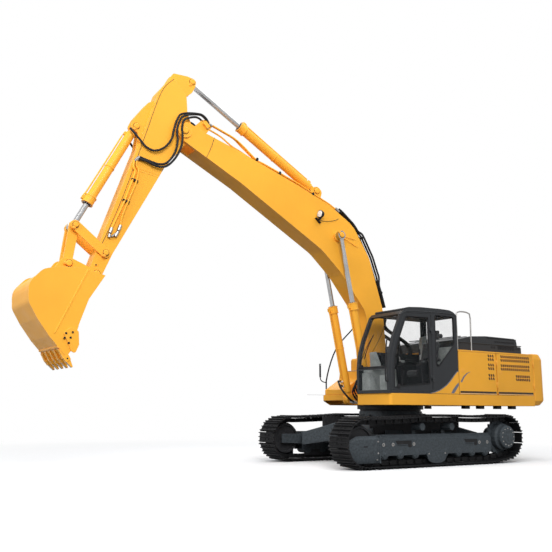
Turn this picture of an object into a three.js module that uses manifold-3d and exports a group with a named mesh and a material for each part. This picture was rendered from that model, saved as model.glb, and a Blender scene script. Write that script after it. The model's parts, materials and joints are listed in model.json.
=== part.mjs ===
// Crawler excavator of the 35 tonne class, boom raised and arm hanging, as an assembly.
// Millimetres. +X is forward, +Y the cab side, +Z up. Pieces are laid out around the slewing
// axis; the exported group is then moved so that the middle of its base is the origin.
import * as THREE from 'three';
import * as BufferGeometryUtils from 'three/addons/utils/BufferGeometryUtils.js';
import Module from 'manifold-3d';

const wasm = await Module();
wasm.setup();

const rad = THREE.MathUtils.degToRad;
const vec = (x, z) => new THREE.Vector2(x, z);

// ---------------------------------------------------------------- driving dimensions
const SEAT_GAP = 0.3; // between pieces that rest against each other
const RUN_GAP = 0.5; // between pieces that turn or slide on each other
const MOVE_GAP = 6; // between pieces that pass each other
const BARREL_SIDES = 16;
const GLAND = 160; // length of the head ring at a barrel's open end

// undercarriage
const GAUGE = 2590; // between the middles of the two tracks
const TUMBLERS = 4050; // from idler axis to sprocket axis
const SHOE_WIDTH = 600;
const SHOE_COUNT = 48;
const SHOE_PLATE = 14;
const GROUSER = 36;
const LINK_HEIGHT = 115;
const LINK_INNER = 35; // inner face of a link strip, from the track's middle
const LINK_OUTER = 95;
const IDLER_BEND = 440; // radius to the links' shoe face
const IDLER_Z = 505;
const IDLER_PLAY = 1.52; // between the idler's tread and the middles of the links' facets
const SPROCKET_BEND = 436;
const SPROCKET_Z = 561;
const SPROCKET_TEETH = 21;
const MOTOR_RADIUS = 200;
const CARRIER_X = [400, -450];
const CARRIER_RADIUS = 75;
const CARRIER_RUN_Z = 1000; // links' shoe face over the carrier rollers
const FRONT_SAG = 70;
const REAR_SAG = 20;
const ROLLER_COUNT = 8;
const ROLLER_RADIUS = 100;
const ROLLER_SPAN = 2880; // first to last bottom roller
const TRACK_FRAME_HALF = 170;
const TRACK_FRAME_TOP = 600;

// upper structure
const DECK_BOTTOM = 1235;
const DECK_TOP = 1471;
const DECK_FRONT = 1317;
const RIGHT_DECK_FRONT = 800;
const UPPER_HALF = 1490;
const CENTRE_FRONT = 800;
const BODY_TOP = 2433;
const BODY_FRONT = -650; // face of the engine body behind the cab
const BODY_REAR = -3150;
const DOOR_SPLIT = -1875; // seam between the two left side doors
const TAIL_SIDE = -3380; // where the counterweight's straight sides end
const TAIL_CORNER = 220; // rounding of the tail's corners
const TAIL_BULGE = 80; // of the tail's rear face
const SKIN = 4;
const PLATE = 16;
const SLEW_RADIUS = 740;
const SLEW_HEIGHT = 130;
const STEP_INSET = 90; // from the deck's side to the step box
const MIRROR_TURN = -38; // degrees, faces the mirror between the cab and the tail
const KNUCKLES = [DECK_TOP + 160, BODY_TOP - 300]; // feet of the side doors' fixed hinge knuckles
const KNUCKLE_RADIUS = 12;
const KNUCKLE_LENGTH = 60;
const HINGE_OUT = 14; // a side door's hinge axis, outside the body's side
const HOOD_LENGTH = 2170;
const HOOD_HALF = 1200;
const HOOD_HEIGHT = 385;
const HOOD_STEP = 190; // height of the hood's low rear end
const HOOD_WALL = 20;

// cab
const CAB_REAR = -650;
const CAB_FRONT = 1345;
const CAB_ROOF = 3250;
const CAB_WALL = 45;
const DOOR_REAR = 130;
const DOOR_THICKNESS = 38;
const GLASS = 6;
const CAB_JAMB = 65; // from the cab's sides to the edges of its front panes
const SEAT_X = -50;
const SEAT_STAND = 330; // height of the seat's stand
const CUSHION_HEIGHT = 110;
const CUSHION_HALF = 225;
const BACKREST_HALF = 235;

// working arm
const BOOM_FOOT = vec(535, 2107);
const BOOM_LENGTH = 6568;
const BOOM_ANGLE = 42.2; // of the line between its pins, above level
const BOOM_HALF = 235;
const ARM_LENGTH = 3445;
const ARM_ANGLE = -61.95; // of the line between its pins, from level
const ARM_HALF = 165;
const FORK_INNER = 172; // boom fork and arm link, from the middle
const FORK_DEPTH = 430; // of the slot in the boom's fork, back from the arm's pin
const EAR_INNER = 175; // bucket ears
const EAR_THICKNESS = 55;
const BUCKET_HALF = 575;
const BUCKET_PLATE = 25;
const TOOTH_COUNT = 5;
const CYLINDER_EYE_HALF = 60; // arm and bucket cylinders
const EYE_CHEEK = CYLINDER_EYE_HALF + RUN_GAP; // inner faces of the lugs beside them
const LIFT_EYE_HALF = 55; // boom cylinders
const LIFT_DRAWN = 1128.7; // how far the boom cylinders' rods are drawn out
const CROWD_DRAWN = 1133.4; // arm cylinder
const CURL_DRAWN = 327.3; // bucket cylinder

// widths that follow the boom's
const BOOM_BOSS = BOOM_HALF + 20;
const FOOT_WEB_OUTER = BOOM_BOSS + 45; // revolving frame's boom webs
const LIFT_OFFSET = BOOM_BOSS + 100; // boom cylinders, from the middle
const CENTRE_HALF = LIFT_OFFSET + 105; // revolving frame's middle section
const CAB_RIGHT = CENTRE_HALF + 20;

// pins, as [along, up]: in the machine, in the boom, in the arm and in the bucket
const LIFT_FOOT = vec(900, 1360);
const LIFT_HEAD = vec(2690, 1320);
const CROWD_BASE = vec(3693, 1757);
const CROWD_HEAD = vec(-1091, 355);
const CURL_BASE = vec(504, 797);
const LINK_PIVOT = vec(ARM_LENGTH - 429, 47);
const LINK_TOP = vec(ARM_LENGTH - 549, 757);
const EAR_PIN = vec(ARM_LENGTH + 120, 502);
const BUCKET_PIN_TO_EAR = vec(500, 130);

// ---------------------------------------------------------------- shape helpers
function solidOf(geometry) {
  const bare = geometry.clone();
  bare.deleteAttribute('normal');
  bare.deleteAttribute('uv');
  const merged = BufferGeometryUtils.mergeVertices(bare, 1e-4);
  return new wasm.Manifold(new wasm.Mesh({
    numProp: 3,
    vertProperties: merged.attributes.position.array,
    triVerts: Uint32Array.from(merged.index.array),
  }));
}

function geometryOf(solid) {
  const mesh = solid.getMesh();
  const geometry = new THREE.BufferGeometry();
  geometry.setAttribute('position', new THREE.BufferAttribute(mesh.vertProperties, 3));
  geometry.setIndex(new THREE.BufferAttribute(mesh.triVerts, 1));
  geometry.computeVertexNormals();
  return geometry;
}

const join = (first, ...others) => others.reduce((whole, piece) => whole.add(piece), first);
const cut = (first, ...others) => others.reduce((whole, piece) => whole.subtract(piece), first);

// A closed outline from corners [x, z] or [x, z, fillet radius]; a fillet uses at most half an edge.
function outline(corners, arcSteps = 3) {
  const points = [];
  corners.forEach((corner, i) => {
    const here = vec(corner[0], corner[1]);
    if (!corner[2]) {
      points.push(here);
      return;
    }
    const before = corners[(i + corners.length - 1) % corners.length];
    const after = corners[(i + 1) % corners.length];
    const a = vec(before[0], before[1]).sub(here);
    const b = vec(after[0], after[1]).sub(here);
    const half = a.angleTo(b) / 2;
    const room = 0.49 * Math.min(a.length(), b.length()) * Math.tan(half);
    const radius = Math.min(corner[2], room);
    a.normalize();
    b.normalize();
    const centre = a.clone().add(b).normalize().multiplyScalar(radius / Math.sin(half)).add(here);
    const start = a.multiplyScalar(radius / Math.tan(half)).add(here).sub(centre);
    const end = b.multiplyScalar(radius / Math.tan(half)).add(here).sub(centre);
    const from = start.angle();
    let sweep = end.angle() - from;
    if (sweep > Math.PI) sweep -= 2 * Math.PI;
    if (sweep < -Math.PI) sweep += 2 * Math.PI;
    for (let k = 0; k <= arcSteps; k += 1) {
      const angle = from + (sweep * k) / arcSteps;
      points.push(vec(Math.cos(angle), Math.sin(angle)).multiplyScalar(radius).add(centre));
    }
  });
  return points;
}

// Two distances from a middle plane, on one side of it, in rising order.
const band = (side, near, far) => [Math.min(side * near, side * far), Math.max(side * near, side * far)];

// A plate of the given side outline, between two distances across the machine.
function plate(points, y0, y1) {
  const shape = new THREE.Shape(points.map((p) => (Array.isArray(p) ? vec(p[0], p[1]) : p)));
  const geometry = new THREE.ExtrudeGeometry(shape, { depth: y1 - y0, bevelEnabled: false });
  return solidOf(geometry.rotateX(Math.PI / 2).translate(0, y1, 0));
}

// A slab of the given plan outline, between two heights.
function slab(points, z0, z1) {
  const shape = new THREE.Shape(points.map((p) => (Array.isArray(p) ? vec(p[0], p[1]) : p)));
  const geometry = new THREE.ExtrudeGeometry(shape, { depth: z1 - z0, bevelEnabled: false });
  return solidOf(geometry.translate(0, 0, z0));
}

function box(x0, x1, y0, y1, z0, z1) {
  const geometry = new THREE.BoxGeometry(x1 - x0, y1 - y0, z1 - z0);
  return solidOf(geometry.translate((x0 + x1) / 2, (y0 + y1) / 2, (z0 + z1) / 2));
}

// A round bar across the machine.
function bar(radius, y0, y1, x = 0, z = 0, sides = 16) {
  const geometry = new THREE.CylinderGeometry(radius, radius, y1 - y0, sides);
  return solidOf(geometry.translate(x, (y0 + y1) / 2, z));
}

// A turned piece about an axis across the machine, from [radius, y] points.
function turned(profile, x, z, sides = 32) {
  const points = profile.map((p) => vec(p[0], p[1]));
  return solidOf(new THREE.LatheGeometry(points, sides).translate(x, 0, z));
}

function tube(points, radius, sides = 8) {
  const path = new THREE.CatmullRomCurve3(points);
  const ring = [];
  for (let i = 0; i < sides; i += 1) {
    const angle = (2 * Math.PI * i) / sides;
    ring.push(vec(radius * Math.cos(angle), radius * Math.sin(angle)));
  }
  const settings = { steps: points.length * 2, bevelEnabled: false, extrudePath: path };
  return solidOf(new THREE.ExtrudeGeometry(new THREE.Shape(ring), settings));
}

// An open line moved sideways by a distance, to its right when positive, with mitred corners.
function offsetLine(points, distance) {
  return points.map((p, i) => {
    const before = points[Math.max(i - 1, 0)];
    const after = points[Math.min(i + 1, points.length - 1)];
    const a = p === before ? after.clone().sub(p) : p.clone().sub(before);
    const b = p === after ? p.clone().sub(before) : after.clone().sub(p);
    a.normalize();
    b.normalize();
    const normal = vec(a.y + b.y, -(a.x + b.x)).normalize();
    const scale = distance / Math.max(0.3, normal.dot(vec(a.y, -a.x)));
    return p.clone().add(normal.multiplyScalar(scale));
  });
}

const strip = (points, outer, inner) => [
  ...offsetLine(points, outer), ...offsetLine(points, inner).reverse(),
];

// A closed outline drawn inwards by a distance.
function insetLoop(points, distance) {
  const inward = THREE.ShapeUtils.area(points) > 0 ? -distance : distance;
  return points.map((p, i) => {
    const before = points[(i + points.length - 1) % points.length];
    const after = points[(i + 1) % points.length];
    return offsetLine([before, p, after], inward)[1];
  });
}

// ---------------------------------------------------------------- materials
function paint(color, roughness, metalness = 0) {
  return new THREE.MeshStandardMaterial({ color, roughness, metalness });
}

const finishes = {
  yellow: () => paint(0xf2a51e, 0.42),
  charcoal: () => paint(0x3d4147, 0.45),
  dark: () => paint(0x2c2c2e, 0.6),
  frame: () => paint(0x5d6a72, 0.6),
  steel: () => paint(0x4a4644, 0.7, 0.6),
  chrome: () => paint(0xd8dade, 0.15, 1),
  glass: () => paint(0x26383c, 0.08),
  cast: () => paint(0x3a3a3c, 0.75),
  fabric: () => paint(0x2a2a2c, 0.9),
};

function place(parent, name, solid, finish) {
  const mesh = new THREE.Mesh(geometryOf(solid), finishes[finish]());
  mesh.name = name;
  parent.add(mesh);
  return mesh;
}

function pivot(parent, name, x, z, angle = 0, y = 0) {
  const group = new THREE.Group();
  group.name = name;
  group.position.set(x, y, z);
  group.rotation.y = -angle;
  parent.add(group);
  return group;
}

// ---------------------------------------------------------------- undercarriage
const IDLER = vec(TUMBLERS / 2, IDLER_Z);
const SPROCKET = vec(-TUMBLERS / 2, SPROCKET_Z);
const GROUND_RUN_Z = GROUSER + SHOE_PLATE;

// Angle, about a circle, of the point where a line from outside touches it.
function touchAngle(point, centre, radius, side) {
  const away = point.clone().sub(centre);
  return away.angle() + side * Math.acos(radius / away.length());
}

function arcPoints(centre, radius, from, to, steps) {
  return Array.from({ length: steps + 1 }, (_, i) => {
    const angle = from + ((to - from) * i) / steps;
    return vec(centre.x + radius * Math.cos(angle), centre.y + radius * Math.sin(angle));
  });
}

function saggingRun(from, to, sag, steps = 8) {
  return Array.from({ length: steps - 1 }, (_, i) => {
    const t = (i + 1) / steps;
    return from.clone().lerp(to, t).sub(vec(0, 4 * sag * t * (1 - t)));
  });
}

// The line that the links' shoe faces follow, clockwise from the front of the ground run.
function trackLine() {
  const groundFront = vec(IDLER.x - 420, GROUND_RUN_Z);
  const groundRear = vec(SPROCKET.x + 520, GROUND_RUN_Z);
  const sprocketLow = touchAngle(groundRear, SPROCKET, SPROCKET_BEND, -1);
  const idlerLow = touchAngle(groundFront, IDLER, IDLER_BEND, 1);
  const rearArc = arcPoints(SPROCKET, SPROCKET_BEND, sprocketLow, Math.PI / 2, 22);
  const frontArc = arcPoints(IDLER, IDLER_BEND, Math.PI / 2, idlerLow - 2 * Math.PI, 22);
  const carriers = CARRIER_X.map((x) => vec(x, CARRIER_RUN_Z)).reverse();
  return [
    groundFront, groundRear, ...rearArc,
    ...saggingRun(rearArc.at(-1), carriers[0], REAR_SAG), carriers[0],
    ...saggingRun(carriers[0], carriers[1], 4, 3), carriers[1],
    ...saggingRun(carriers[1], frontArc[0], FRONT_SAG), ...frontArc,
  ];
}

// Turns distance along the closed track line and height off it into a point.
function trackSampler(line) {
  const lengths = line.map((p, i) => p.distanceTo(line[(i + 1) % line.length]));
  const total = lengths.reduce((sum, length) => sum + length, 0);
  const at = (distance, height) => {
    let rest = ((distance % total) + total) % total;
    let i = 0;
    while (rest > lengths[i]) {
      rest -= lengths[i];
      i += 1;
    }
    const next = line[(i + 1) % line.length];
    const along = next.clone().sub(line[i]).normalize();
    return line[i].clone().addScaledVector(along, rest).addScaledVector(vec(-along.y, along.x), height);
  };
  return { total, at };
}

function shoeOutline(track) {
  const pitch = track.total / SHOE_COUNT;
  const profile = [
    [0, 2], [0.04, SHOE_PLATE], [0.44, SHOE_PLATE], [0.5, SHOE_PLATE + GROUSER], [0.56, SHOE_PLATE],
    [0.96, SHOE_PLATE],
  ];
  const points = [];
  for (let i = 0; i < SHOE_COUNT; i += 1) {
    profile.forEach(([share, height]) => points.push(track.at((i + share) * pitch, height)));
  }
  return points;
}

function buildTrack() {
  const track = trackSampler(trackLine());
  const steps = SHOE_COUNT;
  const ring = (height, share = 1) => Array.from({ length: steps * share }, (_, i) => (
    track.at((i * track.total) / (steps * share), height)));
  const half = SHOE_WIDTH / 2;
  const loop = (outside, inside, y0, y1) => cut(plate(outside, y0, y1), plate(inside, y0 - 1, y1 + 1));
  const shoes = loop(shoeOutline(track), ring(-6), -half, half);
  const links = loop(ring(-3), ring(-LINK_HEIGHT, 2), -LINK_OUTER, LINK_OUTER);
  const slot = plate(ring(-6), -LINK_INNER, LINK_INNER);
  return join(shoes, cut(links, slot));
}

// The links' inner faces are flat, so their middles lie nearer the idler than their ends.
function idlerTread() {
  const inner = IDLER_BEND - LINK_HEIGHT;
  const halfFacet = trackSampler(trackLine()).total / SHOE_COUNT / 4 / IDLER_BEND;
  return inner * Math.cos(halfFacet) - IDLER_PLAY;
}

function buildIdler() {
  const tread = idlerTread();
  const axle = 150 - SEAT_GAP;
  const profile = [
    [0, -axle], [70, -axle], [110, -50], [tread - 45, -50], [tread - 45, -90], [tread, -90],
    [tread, -LINK_INNER + 7], [tread + 28, -LINK_INNER + 12], [tread + 28, LINK_INNER - 12],
    [tread, LINK_INNER - 7], [tread, 90], [tread - 45, 90], [tread - 45, 50], [110, 50], [70, axle],
    [0, axle],
  ];
  return turned(profile, IDLER.x, IDLER.y, 20);
}

function buildSprocket(side) {
  const root = SPROCKET_BEND - LINK_HEIGHT + 30;
  const points = [];
  for (let i = 0; i < SPROCKET_TEETH; i += 1) {
    [[0, root], [0.4, root + 42], [0.6, root + 42]].forEach(([share, radius]) => {
      const angle = (2 * Math.PI * (i + share)) / SPROCKET_TEETH;
      points.push(vec(SPROCKET.x + radius * Math.cos(angle), SPROCKET.y + radius * Math.sin(angle)));
    });
  }
  const wheel = plate(points, -LINK_INNER + 5, LINK_INNER - 5);
  const motor = MOTOR_RADIUS;
  const reach = [[0, -260], [motor, -260], [motor, -60], [290, -60], [290, 150], [245, 190], [245, 270],
    [215, 285], [0, 285]];
  const profile = side > 0 ? reach : reach.map(([r, y]) => [r, -y]).reverse();
  const drive = turned(profile, SPROCKET.x, SPROCKET.y, 20);
  return join(wheel, drive);
}

function rollerLine() {
  const first = IDLER.x - 560;
  return Array.from({ length: ROLLER_COUNT }, (_, i) => first - (i * ROLLER_SPAN) / (ROLLER_COUNT - 1));
}

function buildTrackFrame() {
  const half = TRACK_FRAME_HALF;
  const rollerZ = GROUND_RUN_Z + LINK_HEIGHT + ROLLER_RADIUS + MOVE_GAP / 2;
  const rollers = rollerLine();
  const rear = SPROCKET.x + 430;
  const front = IDLER.x - 400;
  const section = [
    [-half, rollerZ + 75], [half, rollerZ + 75], [half, TRACK_FRAME_TOP - 40],
    [half - 90, TRACK_FRAME_TOP + 50], [-half + 90, TRACK_FRAME_TOP + 50], [-half, TRACK_FRAME_TOP - 40],
  ];
  const shape = new THREE.Shape(section.map(([y, z]) => vec(y, z)));
  const beam = new THREE.ExtrudeGeometry(shape, { depth: front - rear, bevelEnabled: false });
  const body = solidOf(beam.rotateX(Math.PI / 2).rotateZ(Math.PI / 2).translate(rear, 0, 0));
  const pieces = [body];
  [-1, 1].forEach((side) => {
    const cheek = band(side, 150, half);
    pieces.push(plate([[rear, rollerZ - 20], [front, rollerZ - 20], [front, rollerZ + 120],
      [rear, rollerZ + 120]], ...cheek));
    pieces.push(plate([[front - 200, IDLER_Z - 130], [IDLER.x + 160, IDLER_Z - 95],
      [IDLER.x + 160, IDLER_Z + 95], [front - 200, TRACK_FRAME_TOP]], ...cheek));
  });
  const motorSide = SPROCKET.x + MOTOR_RADIUS + SEAT_GAP;
  pieces.push(plate([[rear + 200, 330], [rear + 200, TRACK_FRAME_TOP - 40], [motorSide, SPROCKET_Z + 110],
    [motorSide, SPROCKET_Z - 110]], -half, -150));
  rollers.forEach((x) => pieces.push(bar(ROLLER_RADIUS, -151, 151, x, rollerZ, 12)));
  const carrierZ = CARRIER_RUN_Z - LINK_HEIGHT - CARRIER_RADIUS - 2 * MOVE_GAP;
  CARRIER_X.forEach((x) => {
    pieces.push(bar(CARRIER_RADIUS, -141, 130, x, carrierZ, 12));
    pieces.push(box(x - 45, x + 45, -165, -140, TRACK_FRAME_TOP - 60, carrierZ + 30));
  });
  return join(...pieces);
}

function buildCarbody() {
  const inner = GAUGE / 2 - TRACK_FRAME_HALF - SEAT_GAP;
  const hub = solidOf(new THREE.CylinderGeometry(SLEW_RADIUS - 40, SLEW_RADIUS - 10, 320, 32)
    .rotateX(Math.PI / 2).translate(0, 0, DECK_BOTTOM - SLEW_HEIGHT - RUN_GAP - 160));
  const legs = [[1, 1], [1, -1], [-1, 1], [-1, -1]].map(([fore, side]) => {
    const root = box(-170, 170, -10, 10, 560, 900).translate([fore * 380, side * 330, 0]);
    const foot = box(-260, 260, -10, 10, 380, 600)
      .translate([fore * 820, side * (inner - 10), 0]);
    return wasm.Manifold.hull([root, foot]);
  });
  return join(hub, ...legs);
}

function buildUndercarriage(root) {
  place(root, 'carbody', buildCarbody(), 'frame');
  [['left', 1], ['right', -1]].forEach(([word, side]) => {
    const lane = pivot(root, `${word}_lane`, 0, 0, 0, (side * GAUGE) / 2);
    const frame = buildTrackFrame();
    place(lane, `track_frame_${word}`, side > 0 ? frame : frame.mirror([0, 1, 0]), 'frame');
    place(lane, `track_${word}`, buildTrack(), 'steel');
    place(lane, `idler_${word}`, buildIdler(), 'frame');
    place(lane, `sprocket_${word}`, buildSprocket(side), 'frame');
  });
}

// ---------------------------------------------------------------- upper structure
function buildRevolvingFrame() {
  const rear = -2650;
  const bottom = box(rear, CENTRE_FRONT, -CENTRE_HALF, CENTRE_HALF, DECK_BOTTOM, DECK_BOTTOM + 35);
  const { x, y: z } = BOOM_FOOT;
  const webOutline = outline([
    [rear, DECK_BOTTOM], [rear, 1440], [-950, 1440, 200], [-350, 1640, 300], [x - 185, z + 175, 160],
    [x + 165, z + 175, 160], [x + 165, 1560, 120], [CENTRE_FRONT, DECK_BOTTOM],
  ]);
  const lugOutline = outline([
    [620, DECK_BOTTOM], [620, 1430, 60], [LIFT_FOOT.x - 40, LIFT_FOOT.y + 112, 60],
    [LIFT_FOOT.x + 105, LIFT_FOOT.y + 105, 95], [LIFT_FOOT.x + 105, LIFT_FOOT.y - 105, 95],
    [CENTRE_FRONT, DECK_BOTTOM],
  ]);
  const pieces = [];
  [-1, 1].forEach((side) => {
    pieces.push(plate(webOutline, ...band(side, BOOM_BOSS + RUN_GAP, FOOT_WEB_OUTER)));
    pieces.push(bar(95, ...band(side, FOOT_WEB_OUTER - 1, FOOT_WEB_OUTER + 16), x, z));
    pieces.push(plate(lugOutline, ...band(side, BOOM_BOSS + 17, LIFT_OFFSET - LIFT_EYE_HALF - RUN_GAP)));
    pieces.push(plate(lugOutline, ...band(side, LIFT_OFFSET + LIFT_EYE_HALF + RUN_GAP, LIFT_OFFSET + 85)));
  });
  return join(bottom, ...pieces);
}

function buildSlewRing() {
  const top = DECK_BOTTOM - SEAT_GAP;
  const low = DECK_BOTTOM - SLEW_HEIGHT;
  const profile = [
    [0, low], [SLEW_RADIUS - 60, low], [SLEW_RADIUS - 60, low + 40], [SLEW_RADIUS, low + 40],
    [SLEW_RADIUS, top], [0, top],
  ].map(([r, z]) => vec(r, z));
  return solidOf(new THREE.LatheGeometry(profile, 28).rotateX(Math.PI / 2));
}

// A deck beside the middle section: top plate, skirt all round and cross webs, open below.
function buildDeck(side) {
  const near = CENTRE_HALF + SEAT_GAP;
  const front = side > 0 ? DECK_FRONT : RIGHT_DECK_FRONT;
  const plan = outline([
    [BODY_REAR + 10, near], [front, near], [front, UPPER_HALF, 60], [BODY_REAR + 10, UPPER_HALF],
  ].map(([x, y, r]) => [x, side * y, r || 0]));
  const tray = cut(
    slab(plan, DECK_BOTTOM, DECK_TOP),
    slab(insetLoop(plan, PLATE), DECK_BOTTOM - 10, DECK_TOP - PLATE),
  );
  const across = band(side, near + 5, UPPER_HALF - 5);
  const webs = [-2300, -1400, -500, 300].map((x) => (
    box(x, x + PLATE, ...across, DECK_BOTTOM + 30, DECK_TOP - 5)));
  const deck = join(tray, ...webs);
  return side > 0 ? deck : cut(deck, plate([
    vec(front - 240, DECK_BOTTOM - 10), vec(front + 10, DECK_BOTTOM - 10), vec(front + 10, DECK_BOTTOM + 115),
  ], -UPPER_HALF - 10, -near + 10));
}

// Plan outline of the counterweight, drawn in by an inset: straight sides, round corners, bulging tail.
function tailPlan(inset, sideInset, front) {
  const half = UPPER_HALF - sideInset;
  const rear = TAIL_SIDE - TAIL_CORNER + inset;
  const middle = half - TAIL_CORNER;
  const corner = arcPoints(vec(rear + TAIL_CORNER, middle), TAIL_CORNER, Math.PI / 2, Math.PI, 5);
  const tail = [0.5, 0].map((share) => vec(rear - TAIL_BULGE * (1 - share * share), middle * share));
  const left = [vec(front, half), ...corner, ...tail];
  const right = left.slice(0, -1).reverse().map((p) => vec(p.x, -p.y));
  return [...left, ...right];
}

function buildCounterweight() {
  const bottom = DECK_BOTTOM + 15;
  const top = BODY_TOP + 20;
  const face = BODY_REAR - MOVE_GAP;
  const shell = wasm.Manifold.hull([
    slab(tailPlan(90, 60, face), bottom, bottom + 20),
    slab(tailPlan(0, 0, face), bottom + 110, top - 130),
    slab(tailPlan(60, 30, face), top - 20, top),
  ]);
  const mass = box(face - 40, face + 400, -1380, 1380, DECK_TOP + SEAT_GAP, BODY_TOP - 60);
  return join(shell, mass);
}

const uprightPin = (x, y, z0, z1, radius) => solidOf(new THREE.CylinderGeometry(radius, radius, z1 - z0, 10)
  .rotateX(Math.PI / 2).translate(x, y, (z0 + z1) / 2));

function hingeBrackets(x, side) {
  const axis = UPPER_HALF + HINGE_OUT;
  return KNUCKLES.map((z) => join(
    box(x - 2, x + 12, ...band(side, UPPER_HALF - 70, axis), z, z + KNUCKLE_LENGTH),
    uprightPin(x, side * axis, z, z + KNUCKLE_LENGTH, KNUCKLE_RADIUS),
  ));
}

// Roof plate over the engine and the bulkheads that carry it.
function buildBodyFrame() {
  const roofLow = BODY_TOP - 30;
  const doorSide = UPPER_HALF - 60;
  const roof = slab([
    [BODY_REAR, -UPPER_HALF], [DOOR_SPLIT, -UPPER_HALF], [DOOR_SPLIT, -CENTRE_HALF],
    [BODY_FRONT, -CENTRE_HALF], [BODY_FRONT, UPPER_HALF], [BODY_REAR, UPPER_HALF],
  ], roofLow, BODY_TOP);
  const opening = box(BODY_REAR + 420, BODY_FRONT - 380, -1000, 1180, roofLow - 10, BODY_TOP + 10);
  const base = DECK_TOP + SEAT_GAP;
  const posts = [
    box(BODY_FRONT - 40, BODY_FRONT, FOOT_WEB_OUTER + 10, doorSide, base, roofLow + 5),
    box(DOOR_SPLIT - 25, DOOR_SPLIT + 15, 1100, doorSide, base, roofLow + 5),
    box(DOOR_SPLIT - 40, DOOR_SPLIT, -doorSide, -1000, base, roofLow + 5),
    box(BODY_REAR, BODY_REAR + 20, 1385, doorSide, base, roofLow + 5),
    box(BODY_REAR, BODY_REAR + 20, -doorSide, -1385, base, roofLow + 5),
    ...[[DOOR_SPLIT, 1], [BODY_REAR, 1], [BODY_REAR, -1]].flatMap(([x, side]) => hingeBrackets(x, side)),
  ];
  return join(cut(roof, opening), ...posts);
}

// A side door: outer skin with turned-in edges, its length along X from the group's hinge.
function buildSideDoor(length, side) {
  const low = DECK_TOP + MOVE_GAP;
  const high = BODY_TOP - 30 - MOVE_GAP;
  const face = band(-side, 0, 45);
  const hollow = band(-side, SKIN, 50);
  const skin = outline([[20, low], [length, low, 30], [length, high, 30], [20, high]]);
  const axis = side * HINGE_OUT;
  const knuckles = KNUCKLES.map((z) => {
    const z0 = z + KNUCKLE_LENGTH + RUN_GAP;
    const z1 = z0 + KNUCKLE_LENGTH;
    return join(uprightPin(0, axis, z0, z1, KNUCKLE_RADIUS),
      box(0, 45, ...band(side, HINGE_OUT - 20, HINGE_OUT), z0, z1));
  });
  const panel = cut(plate(skin, ...face), box(20 + 25, length - 25, ...hollow, low + 25, high - 25));
  return join(panel, ...knuckles).translate([0, -axis, 0]);
}

// An outline drawn in by the wall's thickness, and carried out through its base.
const openBelow = (points, wall) => insetLoop(points, wall)
  .map((p) => (p.y < wall + 1 ? vec(p.x, -wall) : p));

function buildHood() {
  const low = SEAT_GAP;
  const rear = -HOOD_LENGTH;
  const profile = outline([
    [0, low], [0, HOOD_HEIGHT - 130], [-450, HOOD_HEIGHT - 30, 120], [-950, HOOD_HEIGHT, 120],
    [rear + 160, HOOD_HEIGHT - 10, 120], [rear + 140, HOOD_STEP, 20], [rear, HOOD_STEP, 40], [rear, low],
  ]);
  const inside = HOOD_HALF - HOOD_WALL;
  return cut(plate(profile, -HOOD_HALF, HOOD_HALF), plate(openBelow(profile, HOOD_WALL), -inside, inside));
}

function buildTank(x0, x1, top) {
  const side = outline([[x0, DECK_TOP + SEAT_GAP], [x1, DECK_TOP + SEAT_GAP], [x1, top, 70], [x0, top, 70]]);
  return plate(side, -UPPER_HALF + 10, -CENTRE_HALF - 60);
}

function buildToolbox(x0) {
  const low = DECK_TOP + SEAT_GAP;
  const stairs = [
    [x0, low], [RIGHT_DECK_FRONT - 10, low], [RIGHT_DECK_FRONT - 10, low + 120, 20],
    [x0 + 430, low + 375, 20], [x0 + 400, low + 560, 30], [x0, low + 560, 20],
  ];
  return plate(outline(stairs, 3), -UPPER_HALF + STEP_INSET, -CENTRE_HALF - 200);
}

// Rail from the deck's front corner up past the step and back to the fuel tank, with its rear-view mirror.
function buildMirrorRail() {
  const y = -UPPER_HALF + STEP_INSET / 2;
  const x = RIGHT_DECK_FRONT - 85;
  const top = BODY_TOP + 850;
  const tank = BODY_TOP - 60 + SEAT_GAP;
  const along = (points) => tube(points.map(([px, pz]) => new THREE.Vector3(px, y, pz)), 17);
  const branch = [[x - 5, y, 1770], [x + 100, y, 1785], [x + 170, y, 1840], [x + 170, y, 1950]];
  const mirror = box(-12, 12, -95, 95, -155, 155).rotate([0, 0, MIRROR_TURN]).translate([x + 165, y, 2050]);
  return join(
    along([[x, DECK_TOP + SEAT_GAP], [x, 1600], [x, 1800], [x - 290, 2560], [x - 790, 3070],
      [x - 980, top - 40], [x - 1080, top], [-860, top], [-930, top - 60], [-940, 2900], [-940, tank]]),
    tube(branch.map((point) => new THREE.Vector3(...point)), 12),
    mirror,
  );
}

// ---------------------------------------------------------------- cab
const CAB_FLOOR = DECK_TOP + SEAT_GAP;
const CAB_LEFT = UPPER_HALF - 4;

// Front and roof line of the cab, from the floor forward and up, to the rear.
function cabLine() {
  return [
    vec(CAB_FRONT, CAB_FLOOR), vec(CAB_FRONT + 5, CAB_FLOOR + 510), vec(CAB_FRONT - 30, CAB_FLOOR + 800),
    vec(CAB_FRONT - 130, CAB_FLOOR + 1120), vec(CAB_FRONT - 365, CAB_ROOF - 150),
    vec(CAB_FRONT - 440, CAB_ROOF - 85), vec(CAB_FRONT - 600, CAB_ROOF - 40),
    vec(CAB_FRONT - 1150, CAB_ROOF - 8), vec(CAB_REAR + 110, CAB_ROOF), vec(CAB_REAR, CAB_ROOF - 70),
  ];
}

const cabProfile = () => [...cabLine(), vec(CAB_REAR, CAB_FLOOR)];

// Outline of the door: the cab's front line drawn in, and upright at the rear pillar.
function doorOutline(clearance) {
  const drawnIn = offsetLine(cabLine(), -(80 + clearance)).slice(0, 5);
  const low = CAB_FLOOR + 40 + clearance;
  const high = CAB_ROOF - 120 - clearance;
  const rear = DOOR_REAR + clearance;
  drawnIn[0].y = low;
  return [vec(rear, low), ...drawnIn, vec(CAB_FRONT - 480, high), vec(rear, high + 20)];
}

function doorWindow() {
  const points = insetLoop(doorOutline(0), 75);
  points[0].y += 90;
  return points;
}

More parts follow.
